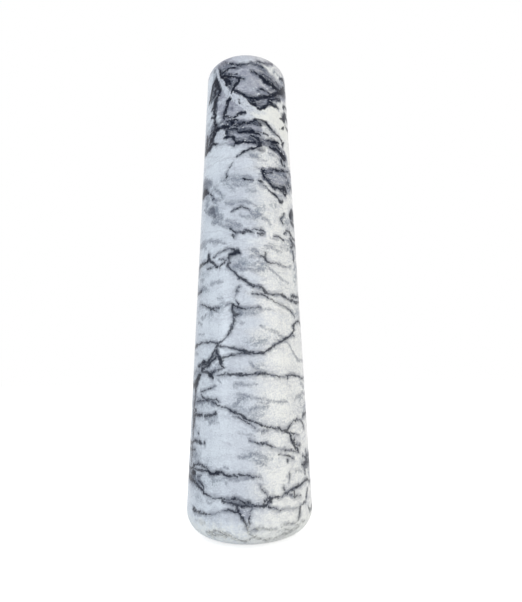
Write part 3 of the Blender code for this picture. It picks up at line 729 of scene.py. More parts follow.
# Cloudy stone, no more than smudges that fade out on all sides.
CLOUDY_PATCHES = [
    [(-52, 175, 2), (-47, 174.6, 4.4), (-43, 174.6, 4.6), (-39, 175.6, 2.8), (-36, 176, .6)],
    [(-56, 162.6, .8), (-48, 163, 2.2), (-42, 163.2, 2.8), (-36, 163, 1.6)],
    [(-68, 153, 1), (-58, 153, 1.2), (-50, 153.4, .6)],
    [(-33, 155.2, .5), (-27, 154.8, 1.4), (-20, 154, .6)],
    [(38, 133.4, .3), (43, 133.2, 1.4), (49, 133, 1.2), (54, 133, .6)],
    [(-42, 124.2, .5), (-38, 124.2, 1.3), (-34, 124, .5)],
    [(-9, 167.6, .6), (-3, 167.4, 1.6), (4, 167.2, .8)],
    [(8, 162.4, .6), (14, 162.4, 1.6), (20, 161.4, 1.7), (27, 162.2, .9), (31, 162.6, .2)],
    [(40, 173, 1), (46, 174, 2), (54, 172.4, 2), (62, 172.6, 2.6), (70, 173.6, 2.6)],
    [(-68, 126.8, 4.2), (-62, 126.6, 4.4), (-55, 126, 3.6), (-49, 126, 2), (-44, 126.2, .8)],
    [(28, 115.4, .3), (34, 115.8, 1.5), (39, 116, .3)],
    [(38, 120.4, .4), (43, 120.4, 1.4), (48, 120.8, 1), (54, 122, .8)],
    [(40, 109.8, .4), (46, 110.4, 1.5), (53, 110.8, 1.8), (60, 110.8, 2), (68, 110, 1.4)],
    [(-66, 142, 2), (-50, 144, 3), (-40, 146, 1.4)],
    [(24, 146.6, .3), (29, 146.6, 1.3), (35, 145.8, 1.3), (41, 144.8, .2)],
    [(-60, 119.6, .6), (-55, 118, 2), (-48, 117.4, 3.4), (-42, 116.8, 4), (-36, 113.4, 2.8),
     (-31, 111.6, 2), (-25, 110.2, 1)],
    [(-46, 122.6, .6), (-40, 122.6, 1), (-34, 121.4, 1), (-27, 119.4, 1), (-23, 119.2, .4)],
    [(-31, 125.6, .6), (-25, 124.6, 1.3), (-20, 123, 1.4), (-15, 121.8, 1), (-11, 121.6, .3)],
    [(2, 110.6, .6), (7, 110.8, 1.8), (12, 112, 2.4), (17, 112.8, 1.6), (22, 114.4, .8)],
    [(-4, 135.4, .4), (6, 135, 1.8), (13, 134.8, 1.4), (18, 134.6, .4)],
    [(44, 135, .8), (50, 134.8, 1.8), (56, 134.8, 2.2), (64, 134.8, 2)],
    [(-27, 127, .5), (-18, 126, 1.6), (-8, 125, 2), (4, 124, 1.8), (14, 123.4, 1), (20, 122.6, .4)],
    [(0, 120.6, .4), (7, 120.6, 1), (12, 120.4, .4)],
    [(-24, 115.8, .4), (-16, 116, .8), (-6, 116.2, .8), (4, 115.6, .6)],
    [(-22, 107, .8), (-14, 106.6, 1.4), (-6, 106.6, .8)],
    [(15, 127.2, .8), (20, 126.9, 1.6), (28, 127, 1.6), (36, 127.8, 1.4), (44, 129, 1.8), (52, 128.6, 3),
     (58, 127.4, 4.6), (66, 127.4, 4.6), (70, 128, 4)],
    [(-22, 90.6, .4), (-16, 91, 1.2), (-11, 92.8, 2.2), (-6, 92.6, 2.6), (-1, 93.2, 2), (4, 93.2, 1.4),
     (9, 91.6, .9), (14, 91.8, 1.2), (18, 92, 2.4), (22, 92, 1.4), (26, 91.6, .3)],
    [(-4, 65, .4), (4, 65, 1.2), (12, 65.2, 1.8), (18, 65.6, 1.4), (23, 66.4, .3)],
    [(4, 57.4, .4), (9, 57.2, 1.1), (14, 57.2, .9), (18, 57, .3)],
    [(52, 76.4, .4), (58, 76.8, 1.4), (66, 76.8, 2), (72, 77, 2)],
    [(2, 97.8, .3), (8, 97.6, .7), (14, 97, .4)],
    [(-66, 92, 1.6), (-58, 91.2, 1.4), (-50, 90.6, .8), (-44, 90.2, .3)],
    [(-68, 85.6, 2), (-58, 85.2, 2.2), (-50, 85, 1.9), (-43, 85, .8)],
    [(-64, 79.4, 1.4), (-56, 79.4, .8)],
    [(-32, 76.4, .4), (-28, 77, 1.4), (-25, 78, 1.4), (-22, 79, .5)],
    [(-16, 75.6, 1), (-12, 75.3, 2.4), (-8, 75.1, 2.6), (-3, 75.4, 1.6), (4, 75.6, 1), (12, 75.4, .4)],
    [(-46, 74.8, .8), (-42, 75, 1.8), (-38, 75.4, 1.6), (-34, 76.4, .6)],
    [(-42, 56, .4), (-36, 57, 1), (-31, 57.6, 1.4), (-27, 57.4, 1), (-24, 57, .3)],
    [(-66, 54.4, 2.4), (-56, 54.6, 2), (-48, 54.8, .8)],
    [(-33, 53.6, .4), (-29, 53.7, 1), (-26, 53.2, .4)],
    [(-10, 62.4, .3), (-6, 62.2, .9), (-2, 61.9, 1), (2, 62, .4)],
    [(-66, 45, 3.6), (-58, 45.2, 3.2), (-50, 45.2, 2.2), (-42, 45.6, 1.4), (-34, 44.6, 1.3),
     (-29, 44.4, .3)],
    [(-68, 40, 2), (-58, 40.8, 1.6), (-50, 41, .8), (-40, 40.8, 1), (-34, 40.6, 1.4), (-28, 41, .8)],
    [(-18, 44.6, .4), (-12, 44.6, 1), (-7, 44.2, 1.2), (-2, 42.6, 1), (6, 42.6, .8), (14, 43.4, .8),
     (20, 43.8, .3)],
    [(-11, 46.8, .5), (-7, 46.6, 1.4), (-3, 46.6, 1.4), (3, 46.4, .5)],
    [(1, 41.6, .5), (6, 41.2, 1.5), (12, 41.2, 1.4), (17, 41.6, .4)],
    [(-68, 36, 2), (-58, 35.8, 1.4), (-50, 35.4, .8)],
    [(-70, 27.4, 4), (-60, 27, 3), (-52, 27.4, 1.6), (-46, 28, .6)],
    [(-4, 29.2, .6), (2, 29, 1.6), (8, 28.2, 1.8), (13, 27.6, .8), (18, 28, 1), (22, 28, .3)],
    [(42, 101.4, .6), (50, 101.2, 1), (57, 101.6, 2), (63, 101.6, 3.4), (70, 101, 4.5)],
    [(62, 90, 2), (68, 92, 4), (72, 93, 4)],
    [(57, 45, 1), (63, 44, 3), (70, 43, 3)],
    [(52, 25.4, .4), (58, 25.2, 1), (66, 25, 2.4), (72, 23, 5)],
    [(-41, 25.2, .6), (-37, 25.2, 1.3), (-32, 25.2, .5)],
    [(-72, 22, 3.6), (-66, 21.4, 3.8), (-58, 20.4, 3.4), (-50, 19.6, 2.6), (-42, 19.6, 1.8),
     (-34, 20.6, 1.4), (-26, 21, 1.2), (-18, 21.4, .6)],
    [(-53, 14.6, .3), (-48, 14.6, 1.2), (-43, 14.6, .5)],
]

# Smoky stone, darker than the grey and with no sharp edge.
SMOKY_PATCHES = [
    [(-50, 175.6, .3), (-44, 175.6, .9), (-38, 175.8, .6), (-34, 176, .2)],
    [(-20, 159.6, .3), (-15, 159, .9), (-11, 157.6, .8), (-7, 156.4, .4)],
    [(-66, 128.2, .8), (-59, 127.7, .8), (-53, 127.1, .6), (-47, 126.6, .2)],
    [(-64, 163.2, .6), (-58, 164.2, 1), (-54, 165.8, 2.8), (-51, 167, 4.2), (-47, 167, 5),
     (-43, 166.6, 5.2), (-40, 165.8, 4.6), (-37, 165.2, 3.4), (-34.8, 165.2, 2.6)],
    [(-51, 158.6, 1), (-47, 158.5, 3), (-44, 158, 4.5), (-42, 157.5, 3)],
    [(-44, 150.2, 1.4), (-38, 149.8, 1.5), (-32, 150.2, 1.2), (-27, 150.4, .8)],
    [(-38, 174.6, .8), (-36, 172.6, 1), (-33, 171, 1.6), (-30, 169.4, 2.6), (-27, 168.2, 3.6),
     (-24, 167.2, 4), (-21, 166.6, 3.2), (-18, 165.6, 1.6), (-15, 166, .5), (-12, 167.4, .3),
     (-5, 167.5, .5)],
    [(-37, 176, .7), (-30, 175.6, 1), (-24, 174.8, .9), (-18, 174.3, .6), (-10, 173.6, .6), (0, 173.2, .6),
     (10, 173.7, .6), (18, 173.4, .7), (25, 172.4, .9), (31, 171.2, .7), (38, 169.9, .3)],
    [(14, 175, .3), (22, 175.2, .5), (30, 175.6, .5), (38, 176.6, .5), (43, 177.4, .3)],
    [(-33, 172.3, .4), (-24, 172.7, .5), (-14, 172.6, .5), (-9, 172.3, .3)],
    [(32, 163.8, .1), (37, 164.9, .6), (42, 165.9, 1), (47, 166.6, 1), (54, 167, .5)],
    [(13, 156.2, .8), (17, 156.7, 1.6), (21, 157.5, 1.3), (26, 158.4, .5)],
    [(7, 170.8, .6), (12, 170.3, .6), (17, 169.6, .6), (21, 168.8, 1.8), (26, 168.3, 2), (34, 167.9, 1.8),
     (42, 167.4, 1.6), (50, 167.2, 1.4), (56, 167, 2), (62, 167.6, 2.4), (70, 169.6, 3)],
    [(-16, 161.8, .3), (-6, 160.4, .5), (2, 159.2, .8), (6, 158, 1.7), (11, 157.7, 1.9), (14, 158.6, 1.2),
     (22, 159.6, 1), (30, 160.4, 1), (38, 161.5, 1.1), (44, 163.2, 1.5), (50, 164.5, 1.8),
     (56, 165.8, 1.9), (62, 166.4, 1)],
    [(14.5, 155, .6), (20, 155.2, .9), (25, 156.5, 1), (31, 158.3, 1.1), (38, 159, .9), (46, 158.5, .3)],
    [(52, 153.8, .8), (57, 154.8, 1.8), (63, 156.4, 2.2), (70, 158, 2)],
    [(-66, 144.2, 3.8), (-61, 144.6, 3.6), (-58, 143, 2), (-55, 143.4, 2.4), (-51, 145.4, 3.8),
     (-47, 146, 3.8), (-45, 146.6, 3), (-41, 147.8, 2.4), (-34, 147.8, 1.7), (-28, 147.8, 1.7),
     (-22, 147.6, 2.3), (-16, 148.2, 1.9), (-10, 147.8, 1.4), (-2, 147.8, 1.4), (6, 147.9, 1),
     (12, 148.9, 1), (20, 148.8, .7), (28, 148.6, .8), (32, 147.6, .6), (40, 145.8, .3)],
    [(12, 138, .2), (16, 137.7, .6), (19, 137.4, .9), (22, 137.2, .7), (24.5, 137.4, .1)],
    [(-27, 145.2, 1.2), (-24, 145, 2.2), (-20, 145.2, 1.6), (-14, 145.6, 1.4), (-8, 145.2, 1), (0, 145, 1),
     (8, 144.4, 1.4), (13, 143.8, 1), (18, 143.6, .3)],
    [(-29, 143, .8), (-22, 143.3, 1.1), (-16, 142.5, 1.1), (-12, 141, 1), (-6, 140.8, .8), (2, 141, .9),
     (8, 141.4, 1.4), (14, 140.8, 2.2), (18, 140, 2.2), (21, 140.4, 1.2), (26, 140.6, 1.2),
     (32, 140.8, 1.8), (38, 140.8, 2.4), (44, 139.9, 2.1), (50, 138.5, 2.1), (56, 138.1, 2.3),
     (61, 138, 1.2)],
    [(18.5, 128, 1), (21, 127.6, 1.6), (24, 126.6, 1.3), (28, 124.8, .8), (34, 124, .8), (42, 124, .9),
     (49, 123.6, 1.6), (55, 123.5, 1.8), (58, 123.6, .8)],
    [(27, 130, .3), (34, 130.2, .6), (40, 130.6, .7), (50, 131, .6)],
    [(-67, 124.8, 2.4), (-62, 124.8, 2.2), (-57, 124.8, 1.4), (-53, 124.4, .5)],
    [(-52, 114.5, .5), (-46, 114.8, 1.4), (-41, 114.2, 1.5), (-37, 112.6, .8)],
    [(60, 114, 1.2), (65, 114.5, 2.6), (72, 115, 3)],
    [(-20, 96.2, .5), (-14, 96.6, .9), (-9, 97, .9), (-5, 96.6, .3)],
    [(-49, 96, .4), (-46, 96.4, 1), (-43, 95.8, .5)],
    [(-58, 57.4, .4), (-50, 57.6, .9), (-42, 58.3, 1), (-38, 59, 1), (-35, 60.2, 1), (-32, 61.2, 1.1),
     (-29, 61.8, 1), (-27, 60.4, .8), (-25, 59, .7), (-23, 58, .2)],
    [(-66, 50.6, 1.6), (-60, 51.8, 1.8), (-56, 53, 1.3), (-52, 54.2, .8)],
    [(-39, 54.4, .2), (-35, 54.8, .5), (-31, 55.6, .4)],
    [(-68, 20.6, 1.6), (-60, 21, 1.4), (-53, 20, .8)],
    [(-36, 23.2, .2), (-30, 23, .2), (-24, 23.6, .3), (-16, 23, -.2)],
    [(-18, 15.6, .3), (-12, 15.5, .7), (-6, 15, .8), (0, 14.4, .5), (5, 14, .2)],
    [(61, 23, .5), (66, 24, 1.6), (72, 24, 2)],
    [(55, 127, .4), (60, 127, 1.6), (66, 127, 2)],
]

# Whiter beds, where the haze thins out.
WHITE_BEDS = [
    [(-66, 110.6, 2), (-56, 110.4, 2), (-48, 109.6, 2), (-42, 107.6, 1.2), (-34, 106.6, 1.2),
     (-27, 105.6, .6)],
    [(-62, 133.4, 1.6), (-52, 133, 2), (-42, 131.4, 1.4), (-34, 129.4, .6)],
    [(-31, 136.6, .6), (-24, 135.4, 1.4), (-16, 135, 1), (-10, 134.6, .4)],
    [(-40, 71, .6), (-32, 70.6, 2), (-24, 71.4, 2), (-18, 73, .8)],
    [(-31, 48.6, .6), (-25, 48.4, 1.6), (-19, 48.2, .8)],
    [(-29, 34.6, .5), (-24, 34.6, 2), (-18, 34.4, .8)],
    [(-53, 28.2, .6), (-48, 28.2, 1.4), (-43, 28.2, .5)],
    [(-70, 114.5, 1.4), (-60, 111.6, 1.8), (-50, 109, 2), (-40, 107, 1.8), (-30, 106, 1.4),
     (-22, 105, .5)],
    [(28, 105, .6), (34, 104.8, 2), (38, 108, 2), (44, 112, 1.6), (50, 116, 1.8), (55, 119.4, 2.2),
     (60, 121.4, 1)],
    [(-22, 102.4, .6), (-14, 102.6, 1.2), (-4, 102.4, 1.2), (6, 102, 1.6), (16, 101.8, .8)],
    [(-62, 133.6, 1.6), (-50, 134, 2.2), (-40, 134.6, 1.8), (-26, 135, 2.2), (-14, 135, 1.6),
     (-6, 135.6, .4)],
    [(-4, 172, .3), (3, 172, 1.2), (9, 172, .6)],
    [(15, 18.2, .4), (22, 17.9, 1.2), (29, 18, 1.6), (34, 18.6, 1)],
    [(12, 15, .4), (19, 14.8, 1.4), (28, 14.4, 2.4), (40, 13.4, 2.4), (50, 13, 2), (58, 12.4, 1.2)],
    [(29, 78.4, .4), (36, 78.6, 1.6), (44, 78.2, 1.8), (52, 79, 1.6), (62, 79.6, 1.2)],
    [(24, 29.4, .4), (31, 28.8, .8), (40, 28.2, 1), (50, 28.8, 2), (60, 29.6, 2), (68, 29.8, 1.4)],
    [(29, 41.4, .4), (35, 41.4, 1.8), (41, 41.6, .8)],
    [(0, 9, .6), (12, 9, 1), (26, 9.4, 1.4), (36, 9.4, 2.4), (48, 8.8, 3), (60, 8.6, 2.6)],
    [(18, 22.4, .6), (26, 21.8, 2.4), (34, 22.4, 3), (40, 22.8, 2.8), (45, 23, .8)],
    [(-40, 14.6, .8), (-30, 14.4, 1.4), (-22, 13.8, 1), (-16, 14, .4)],
    [(-68, 13.6, 2), (-58, 13.6, 1.2), (-52, 13.4, .4)],
    [(44, 7.6, .4), (50, 7, 1.6), (58, 6.8, 2), (66, 7, 2)],
    [(22, 7.2, .4), (29, 6.8, 1), (36, 6.8, 1), (42, 6.9, .5)],
    [(-66, 8.4, 2.4), (-56, 8, 1.8), (-44, 7.4, 1.2), (-34, 8, .6)],
    [(-32, 36, 1), (-24, 36, 2.4), (-14, 35.6, 1)],
    [(-28, 49, 1), (-20, 49.4, 2), (-12, 49.6, .8)],
    [(-62, 80.6, .6), (-50, 80.8, 1.6), (-42, 80.4, 1.2), (-30, 84.4, 1), (-20, 84.4, 1.8), (-12, 84, .8)],
    [(-58, 73.4, .8), (-46, 71.6, 1.4), (-32, 71.4, 1.6), (-24, 72, .8)],
    [(24, 79.4, .6), (34, 77, 2.2), (42, 78.4, 1.8), (54, 79, 1)],
    [(22, 91.4, .6), (30, 91.6, 1.4), (42, 92.4, 1.6), (56, 92.6, 1.2)],
    [(20, 61.6, .6), (30, 60.4, 1.8), (38, 59, 1.6), (46, 58.4, .6)],
    [(-50, 29, .8), (-42, 29.6, 1.6), (-32, 29.8, 1.4), (-20, 30.4, 1.2), (-12, 30.6, .4)],
    [(44, 40, .6), (50, 39.8, 1), (56, 39.6, .4)],
]

# The chalky seam, with the creamy stone that it opens into, and a white pebble among the dark arches.
CHALKY_SEAM = [
    [(-46, 177, .6), (-42, 174.2, .6), (-39.5, 171.5, .6), (-36, 169.4, .6), (-33, 167.6, .8),
     (-30, 165.1, .9), (-26, 162.8, 1), (-20, 160.7, 1.1), (-14, 158.9, 1.6), (-8, 157.6, 1.9),
     (-2, 156.4, 2.1), (4, 154, 2.1), (10, 152.9, 2.1), (16, 152, 2.1), (24, 152.4, 2.4), (32, 153.2, 2.8),
     (42, 153, 4.2), (52, 151, 4.2), (60, 150.4, 3.4), (70, 150, 3)],
    [(-43, 144, 1.0), (-40, 144.2, 2.0), (-36, 144.6, 2.5), (-32, 144.7, 2.6), (-29, 144.5, 2.4),
     (-26, 144, 1.6)],
]

# The photograph doesn't show the back. Veins that reach an edge of the front wander on round the pestle
# until they run out, and new ones are added there. Steps, lengths and angles are in degrees, heights and
# half thicknesses in millimetres, and a drift is in millimetres a degree. The spreads of a stride and of a
# thickness are factors, and so is VEIN_END.
HALF_TURN = 180.0
FULL_TURN = 360.0
FRONT_EDGE = 65
ONWARD_STEP = 7
ONWARD_LENGTHS = (25, 120)
ONWARD_DRIFT = 0.06
STRIDE_SPREAD = (0.6, 1.4)
HEIGHT_SPREAD = 0.7
THICKNESS_SPREAD = (0.75, 1.25)
THINNEST = 0.1
VEIN_END = 0.2
LOWEST_VEIN = 8.0
HIGHEST_VEIN = 174.0
BACK_VEINS = 46
BACK_RISERS = 9
BACK_GREY_VEINS = 18
BACK_PATCHES = 6
BACK_CLOUDS = 14
BACK_STEP = 6
BACK_STARTS = (78, 240)
BACK_HEIGHTS = (9, 173)
BACK_LENGTHS = (14, 80)
BACK_DRIFT = 0.12
BACK_END = 285
RISER_HEIGHTS = (20, 165)
RISER_ANGLES = (80, 170)
RISER_POINTS = (4, 8)
RISER_THICKNESSES = (0.15, 0.4)
RISER_DROPS = (0.9, 1.8)
RISER_SWAY = 3
SEED = 18


def split_at_seam(vein):
    """A vein that runs round the back, cut at the angle where the count starts anew."""
    parts = [[]]
    for before, after in zip([None] + vein, vein):
        turn = math.floor((after[0] + HALF_TURN) / FULL_TURN)
        turn_before = math.floor((before[0] + HALF_TURN) / FULL_TURN) if before else turn
        if turn_before != turn:
            seam = FULL_TURN * max(turn_before, turn) - HALF_TURN
            share = (seam - before[0]) / (after[0] - before[0])
            crossing = [first + (second - first) * share for first, second in zip(before[1:], after[1:])]
            parts[-1].append((seam - FULL_TURN * turn_before, *crossing))
            parts.append([(seam - FULL_TURN * turn, *crossing)])
        parts[-1].append((after[0] - FULL_TURN * turn, *after[1:]))
    return parts


def thinned(point):
    """The same point, as thin as where a vein runs out."""
    angle, height, thickness = point
    return angle, height, VEIN_END * thickness


def wander(start, step, length, drift, thickest, chance):
    """A vein that goes on from start by steps of about so many degrees, and runs out."""
    angle, height, thickness = start
    vein = []
    travelled = 0
    while travelled < length:
        stride = chance.uniform(*STRIDE_SPREAD) * step
        angle += stride
        travelled += abs(stride)
        height += drift * abs(stride) + chance.uniform(-HEIGHT_SPREAD, HEIGHT_SPREAD)
        thickness = min(thickest, max(THINNEST, thickness * chance.uniform(*THICKNESS_SPREAD)))
        vein.append((angle, min(HIGHEST_VEIN, max(LOWEST_VEIN, height)), thickness))
    return vein[:-1] + [thinned(vein[-1])]


def gone_on(end, step, thickest, chance):
    """How a vein goes on from where it leaves the front."""
    length = chance.uniform(*ONWARD_LENGTHS)
    return wander(end, step, length, chance.uniform(-ONWARD_DRIFT, ONWARD_DRIFT), thickest, chance)


def carried_round(veins, thickest, chance):
    """Veins that leave the front on either side go on towards the back and die out there."""
    whole = []
    for vein in veins:
        longer = list(vein)
        if vein[-1][0] >= FRONT_EDGE:
            longer += gone_on(vein[-1], ONWARD_STEP, thickest, chance)
        if vein[0][0] <= -FRONT_EDGE:
            longer = gone_on(vein[0], -ONWARD_STEP, thickest, chance)[::-1] + longer
        whole += [sorted(part) for part in split_at_seam(longer)]
    return whole


def back_veins(count, thinnest, thickest, chance):
    """New veins for the back of the pestle."""
    veins = []
    for _ in range(count):
        angle = chance.uniform(*BACK_STARTS)
        height = chance.uniform(*BACK_HEIGHTS)
        start = (angle, height, chance.uniform(thinnest, thickest))
        length = chance.uniform(*BACK_LENGTHS)
        drift = chance.uniform(-BACK_DRIFT, BACK_DRIFT)
        vein = [thinned(start)] + wander(start, BACK_STEP, length, drift, thickest, chance)
        inside = [point for point in vein if point[0] < BACK_END]
        if len(inside) > 1:
            veins += [sorted(part) for part in split_at_seam(inside) if len(part) > 1]
    return veins


# The numbers are half thicknesses: the most on the way round, and for a new vein the least that it starts
# with and the most.
chance = random.Random(SEED)
dark_beds = carried_round(DARK_VEINS, 0.5, chance) + back_veins(BACK_VEINS, 0.05, 0.5, chance)
grey_vein_beds = carried_round(GREY_VEINS, 0.7, chance) + back_veins(BACK_GREY_VEINS, 0.15, 0.7, chance)
patch_beds = carried_round(GREY_PATCHES, 3.5, chance) + back_veins(BACK_PATCHES, 1.5, 4.0, chance)
smoky_beds = carried_round(SMOKY_PATCHES, 1.0, chance) + back_veins(BACK_PATCHES, 0.5, 1.0, chance)
cloudy_beds = carried_round(CLOUDY_PATCHES, 2.4, chance) + back_veins(BACK_CLOUDS, 1.0, 3.0, chance)
white_beds = carried_round(WHITE_BEDS, 2.0, chance)
seams = carried_round(CHALKY_SEAM, 2.0, chance)
dark_risers = list(DARK_RISERS)
for _ in range(BACK_RISERS):
    riser_height = chance.uniform(*RISER_HEIGHTS)
    riser_angle = chance.uniform(*RISER_ANGLES) * chance.choice((-1, 1))
    riser = []
    for _ in range(chance.randint(*RISER_POINTS)):
        riser.append((riser_height, riser_angle, chance.uniform(*RISER_THICKNESSES)))
        riser_height -= chance.uniform(*RISER_DROPS)
        riser_angle += chance.uniform(-RISER_SWAY, RISER_SWAY)
    dark_risers.append(riser)

# A curve node holds one bed's course all round, so veins that don't overlap share a curve. Between them the
# half thickness falls to NO_VEIN. A vein's tips are in degrees on a bed and in millimetres on a riser.
NO_VEIN = -1.0
THICKEST = 9.0
TIP = 1.6
RISER_TIP = 0.6
STEEPEST = 2.6
TALLEST = LENGTH / MM


def shared_courses(veins, tip):
    """Packs veins into courses, so that within a course each begins after the last has ended."""
    courses = []
    for vein in sorted(veins):
        for course in courses:
            if course[-1][-1][0] + 2 * tip < vein[0][0]:
                course.append(vein)
                break
        else:
            courses.append([vein])
    return courses


def stone_radius(height):
    """Radius of the pestle's side in millimetres at a height in millimetres."""
    return (BASE_RADIUS + (TOP_RADIUS - BASE_RADIUS) * height / TALLEST) / MM


def course_points(course, tip, low, high, along_is_angle):
    """The course's middle line and half thickness, as curve points with both axes from 0 to 1.

    Thickness is given square to the vein and wanted along the second axis, so steep stretches gain some.
    """
    middles, halves = [], []
    for vein in course:
        first, last = vein[0], vein[-1]
        line = [(max(low, first[0] - tip), first[1], NO_VEIN)]
        for number, (along, across, half) in enumerate(vein):
            before = vein[max(0, number - 1)]
            after = vein[min(len(vein) - 1, number + 1)]
            millimetres = math.radians(stone_radius(across if along_is_angle else along))
            run = (after[0] - before[0]) * (millimetres if along_is_angle else 1)
            rise = (after[1] - before[1]) * (1 if along_is_angle else millimetres)
            steepness = min(STEEPEST, math.hypot(1, rise / run)) if run else 1
            line.append((along, across, half * steepness))
        line.append((min(high, last[0] + tip), last[1], NO_VEIN))
        if first[0] <= low:
            line = line[1:]
        if last[0] >= high:
            line = line[:-1]
        for along, across, half in line:
            place = (along - low) / (high - low)
            share = across / TALLEST if along_is_angle else across / FULL_TURN + 0.5
            middles.append((place, share))
            halves.append((place, (half - NO_VEIN) / (THICKEST - NO_VEIN)))
    for points in (middles, halves):
        if points[0][0] > 0:
            points.insert(0, (0.0, points[0][1]))
        if points[-1][0] < 1:
            points.append((1.0, points[-1][1]))
    return middles, halves


# Places on the stone are in millimetres. Two noises shift them, one that bends the veins and a finer one
# that frays their edges.
BEND_GRAIN = 7.0
FRAY_GRAIN = 1.3
SHIFT = 1.5

marble = Shader(bpy.data.materials.new("veined_marble"))
position = marble.node("ShaderNodeTexCoord", {}, {}, output="Object")
place = marble.node("ShaderNodeVectorMath", {"operation": "SCALE"}, {0: position, "Scale": 1 / MM})
shifted = place
for grain in (BEND_GRAIN, FRAY_GRAIN):
    shift = marble.vector("SUBTRACT", marble.scatter(place, grain), (NOISE_MIDDLE,) * 3)
    shift = marble.vector("MULTIPLY", shift, (SHIFT,) * 3)
    shifted = marble.vector("ADD", shifted, shift)

# The turn is the share of the way round from the back, and the level that of the way up.
across = marble.component(shifted, "X")
towards = marble.component(shifted, "Y")
height = marble.component(shifted, "Z")
angle = across.math("ARCTAN2", across, towards * -1.0)
turn = angle * (0.5 / math.pi) + 0.5
level = height * (1 / TALLEST)
radius_here = height * ((TOP_RADIUS - BASE_RADIUS) / LENGTH) + BASE_RADIUS / MM


def curve(points, along):
    """The curve's height, from 0 to 1, at a share of the way along it."""
    return marble.node("ShaderNodeFloatCurve", {"points": points}, {"Value": along})


def half_thickness(points, along):
    """The same for a curve of half thicknesses, in millimetres."""
    return curve(points, along) * (THICKEST - NO_VEIN) + NO_VEIN


def beds(veins):
    """How far each place lies outside the nearest of these veins, in millimetres. Negative inside it."""
    nearest = None
    for course in shared_courses(veins, TIP):
        middles, halves = course_points(course, TIP, -HALF_TURN, HALF_TURN, True)
        outside = abs(height - curve(middles, turn) * TALLEST) - half_thickness(halves, turn)
        nearest = nearest.least(outside) if nearest else outside
    return nearest


def risers(veins):
    """The same for veins that climb."""
    nearest = None
    for course in shared_courses([sorted(vein) for vein in veins], RISER_TIP):
        middles, halves = course_points(course, RISER_TIP, 0.0, TALLEST, False)
        arc = abs(turn - curve(middles, level)) * radius_here * (2 * math.pi)
        outside = arc - half_thickness(halves, level)
        nearest = nearest.least(outside) if nearest else outside
    return nearest


# The two whites hold painted light as well as the stone's tone: cool light on the left, warm light on the
# right.
BLUISH_WHITE_AND_PAINTED_COOL_LIGHT = (0.715, 0.775, 0.845, 1)
CREAM_WHITE_AND_PAINTED_WARM_LIGHT = (0.89, 0.90, 0.875, 1)
CLOUD_GREY = (0.42, 0.46, 0.54, 1)
PATCH_GREY = (0.29, 0.305, 0.375, 1)
CLOUDY_GREY = (0.20, 0.235, 0.29, 1)
CHALK_WHITE = (0.56, 0.60, 0.67, 1)
CHALK_CREAM = (0.82, 0.83, 0.80, 1)
LAVENDER = (0.43, 0.43, 0.49, 1)
GREY_VEIN = (0.17, 0.19, 0.24, 1)
DARK_VEIN_INK = (0.001, 0.004, 0.015, 1)
SMOKE = (0.009, 0.018, 0.040, 1)
HALO = (0.10, 0.115, 0.155, 1)
FLECK_WHITE = (0.80, 0.83, 0.88, 1)
# Pale worn stone, whitened further as painted light from the floor below.
END_WHITE_AND_PAINTED_FLOOR_LIGHT = (0.88, 0.90, 0.87, 1)

# Where each kind of stone, and each painted light or shade, comes in, from none of it to all of it, in
# millimetres. The first six are heights. The next two lie to the right of the axis, the middle band to
# either side of it, and the rest outside the edge of a vein or patch.
CLOUDED_ABOVE = (98.0, 112.0)
CLOUDED_BELOW = (133.0, 125.0)
INKIER_ABOVE = (112.0, 132.0)
WORN_END_AND_PAINTED_LIGHT_BELOW = (10.5, 5.5)
CAP_ABOVE = (174.5, 176.0)
TOP_FACE_ABOVE = (177.6, 178.6)
CREAMY_SIDE_AND_PAINTED_WARM_LIGHT = (-1.0, 8.0)
PAINTED_SHADE_LEFT_EDGE = (-15.0, -20.0)
LAVENDER_AND_SHADE_BAND = (12.0, 2.0)
WHITE_BED_EDGE = (1.5, -1.5)
PATCH_EDGE = (1.0, -1.0)
CLOUDY_EDGE = (1.8, -1.8)
SMOKY_EDGE = (1.4, -1.4)
SEAM_EDGE = (0.5, -0.4)
GREY_VEIN_EDGE = (0.9, -0.5)
DARK_VEIN_EDGE = (0.3, -0.25)
HALO_EDGE = (1.5, -0.3)
WIDE_HALO_EDGE = (4.5, 0.0)

# Clouds, streaks and fibres lie in the beds, so they are wider than high. The weights in the sums below
# were set against the photograph.
BED_FLATNESS = 3.2
CRYSTALS_PER_MM = 1.5
bedded = marble.vector("MULTIPLY", shifted, (1.0, 1.0, BED_FLATNESS))
clouds = marble.mottle(bedded, grain=17.0, detail=4.0, roughness=0.55)
streaks = marble.mottle(bedded, grain=5.0, detail=3.0, roughness=0.6)
fibres = marble.mottle(bedded, grain=2.6, detail=2.0, roughness=0.6)
grains = marble.mottle(place, grain=2.0, detail=3.0, roughness=0.6)
specks = marble.mottle(place, grain=0.55, detail=2.0, roughness=0.6)
cell_sockets = {"Vector": place, "Scale": CRYSTALS_PER_MM}
cells = marble.node("ShaderNodeTexVoronoi", {}, cell_sockets, output="Color")
crystals = marble.node("ShaderNodeSeparateColor", {}, {0: cells})

# The ground: bluish on the left and creamy on the right, partly the stone's own tone and partly painted
# light, cool from the left and warm from the right; hazed over, and whiter in some beds.
side = (across + clouds.swing(5.0)).rising(*CREAMY_SIDE_AND_PAINTED_WARM_LIGHT)
colour = marble.mix(side, BLUISH_WHITE_AND_PAINTED_COOL_LIGHT, CREAM_WHITE_AND_PAINTED_WARM_LIGHT)
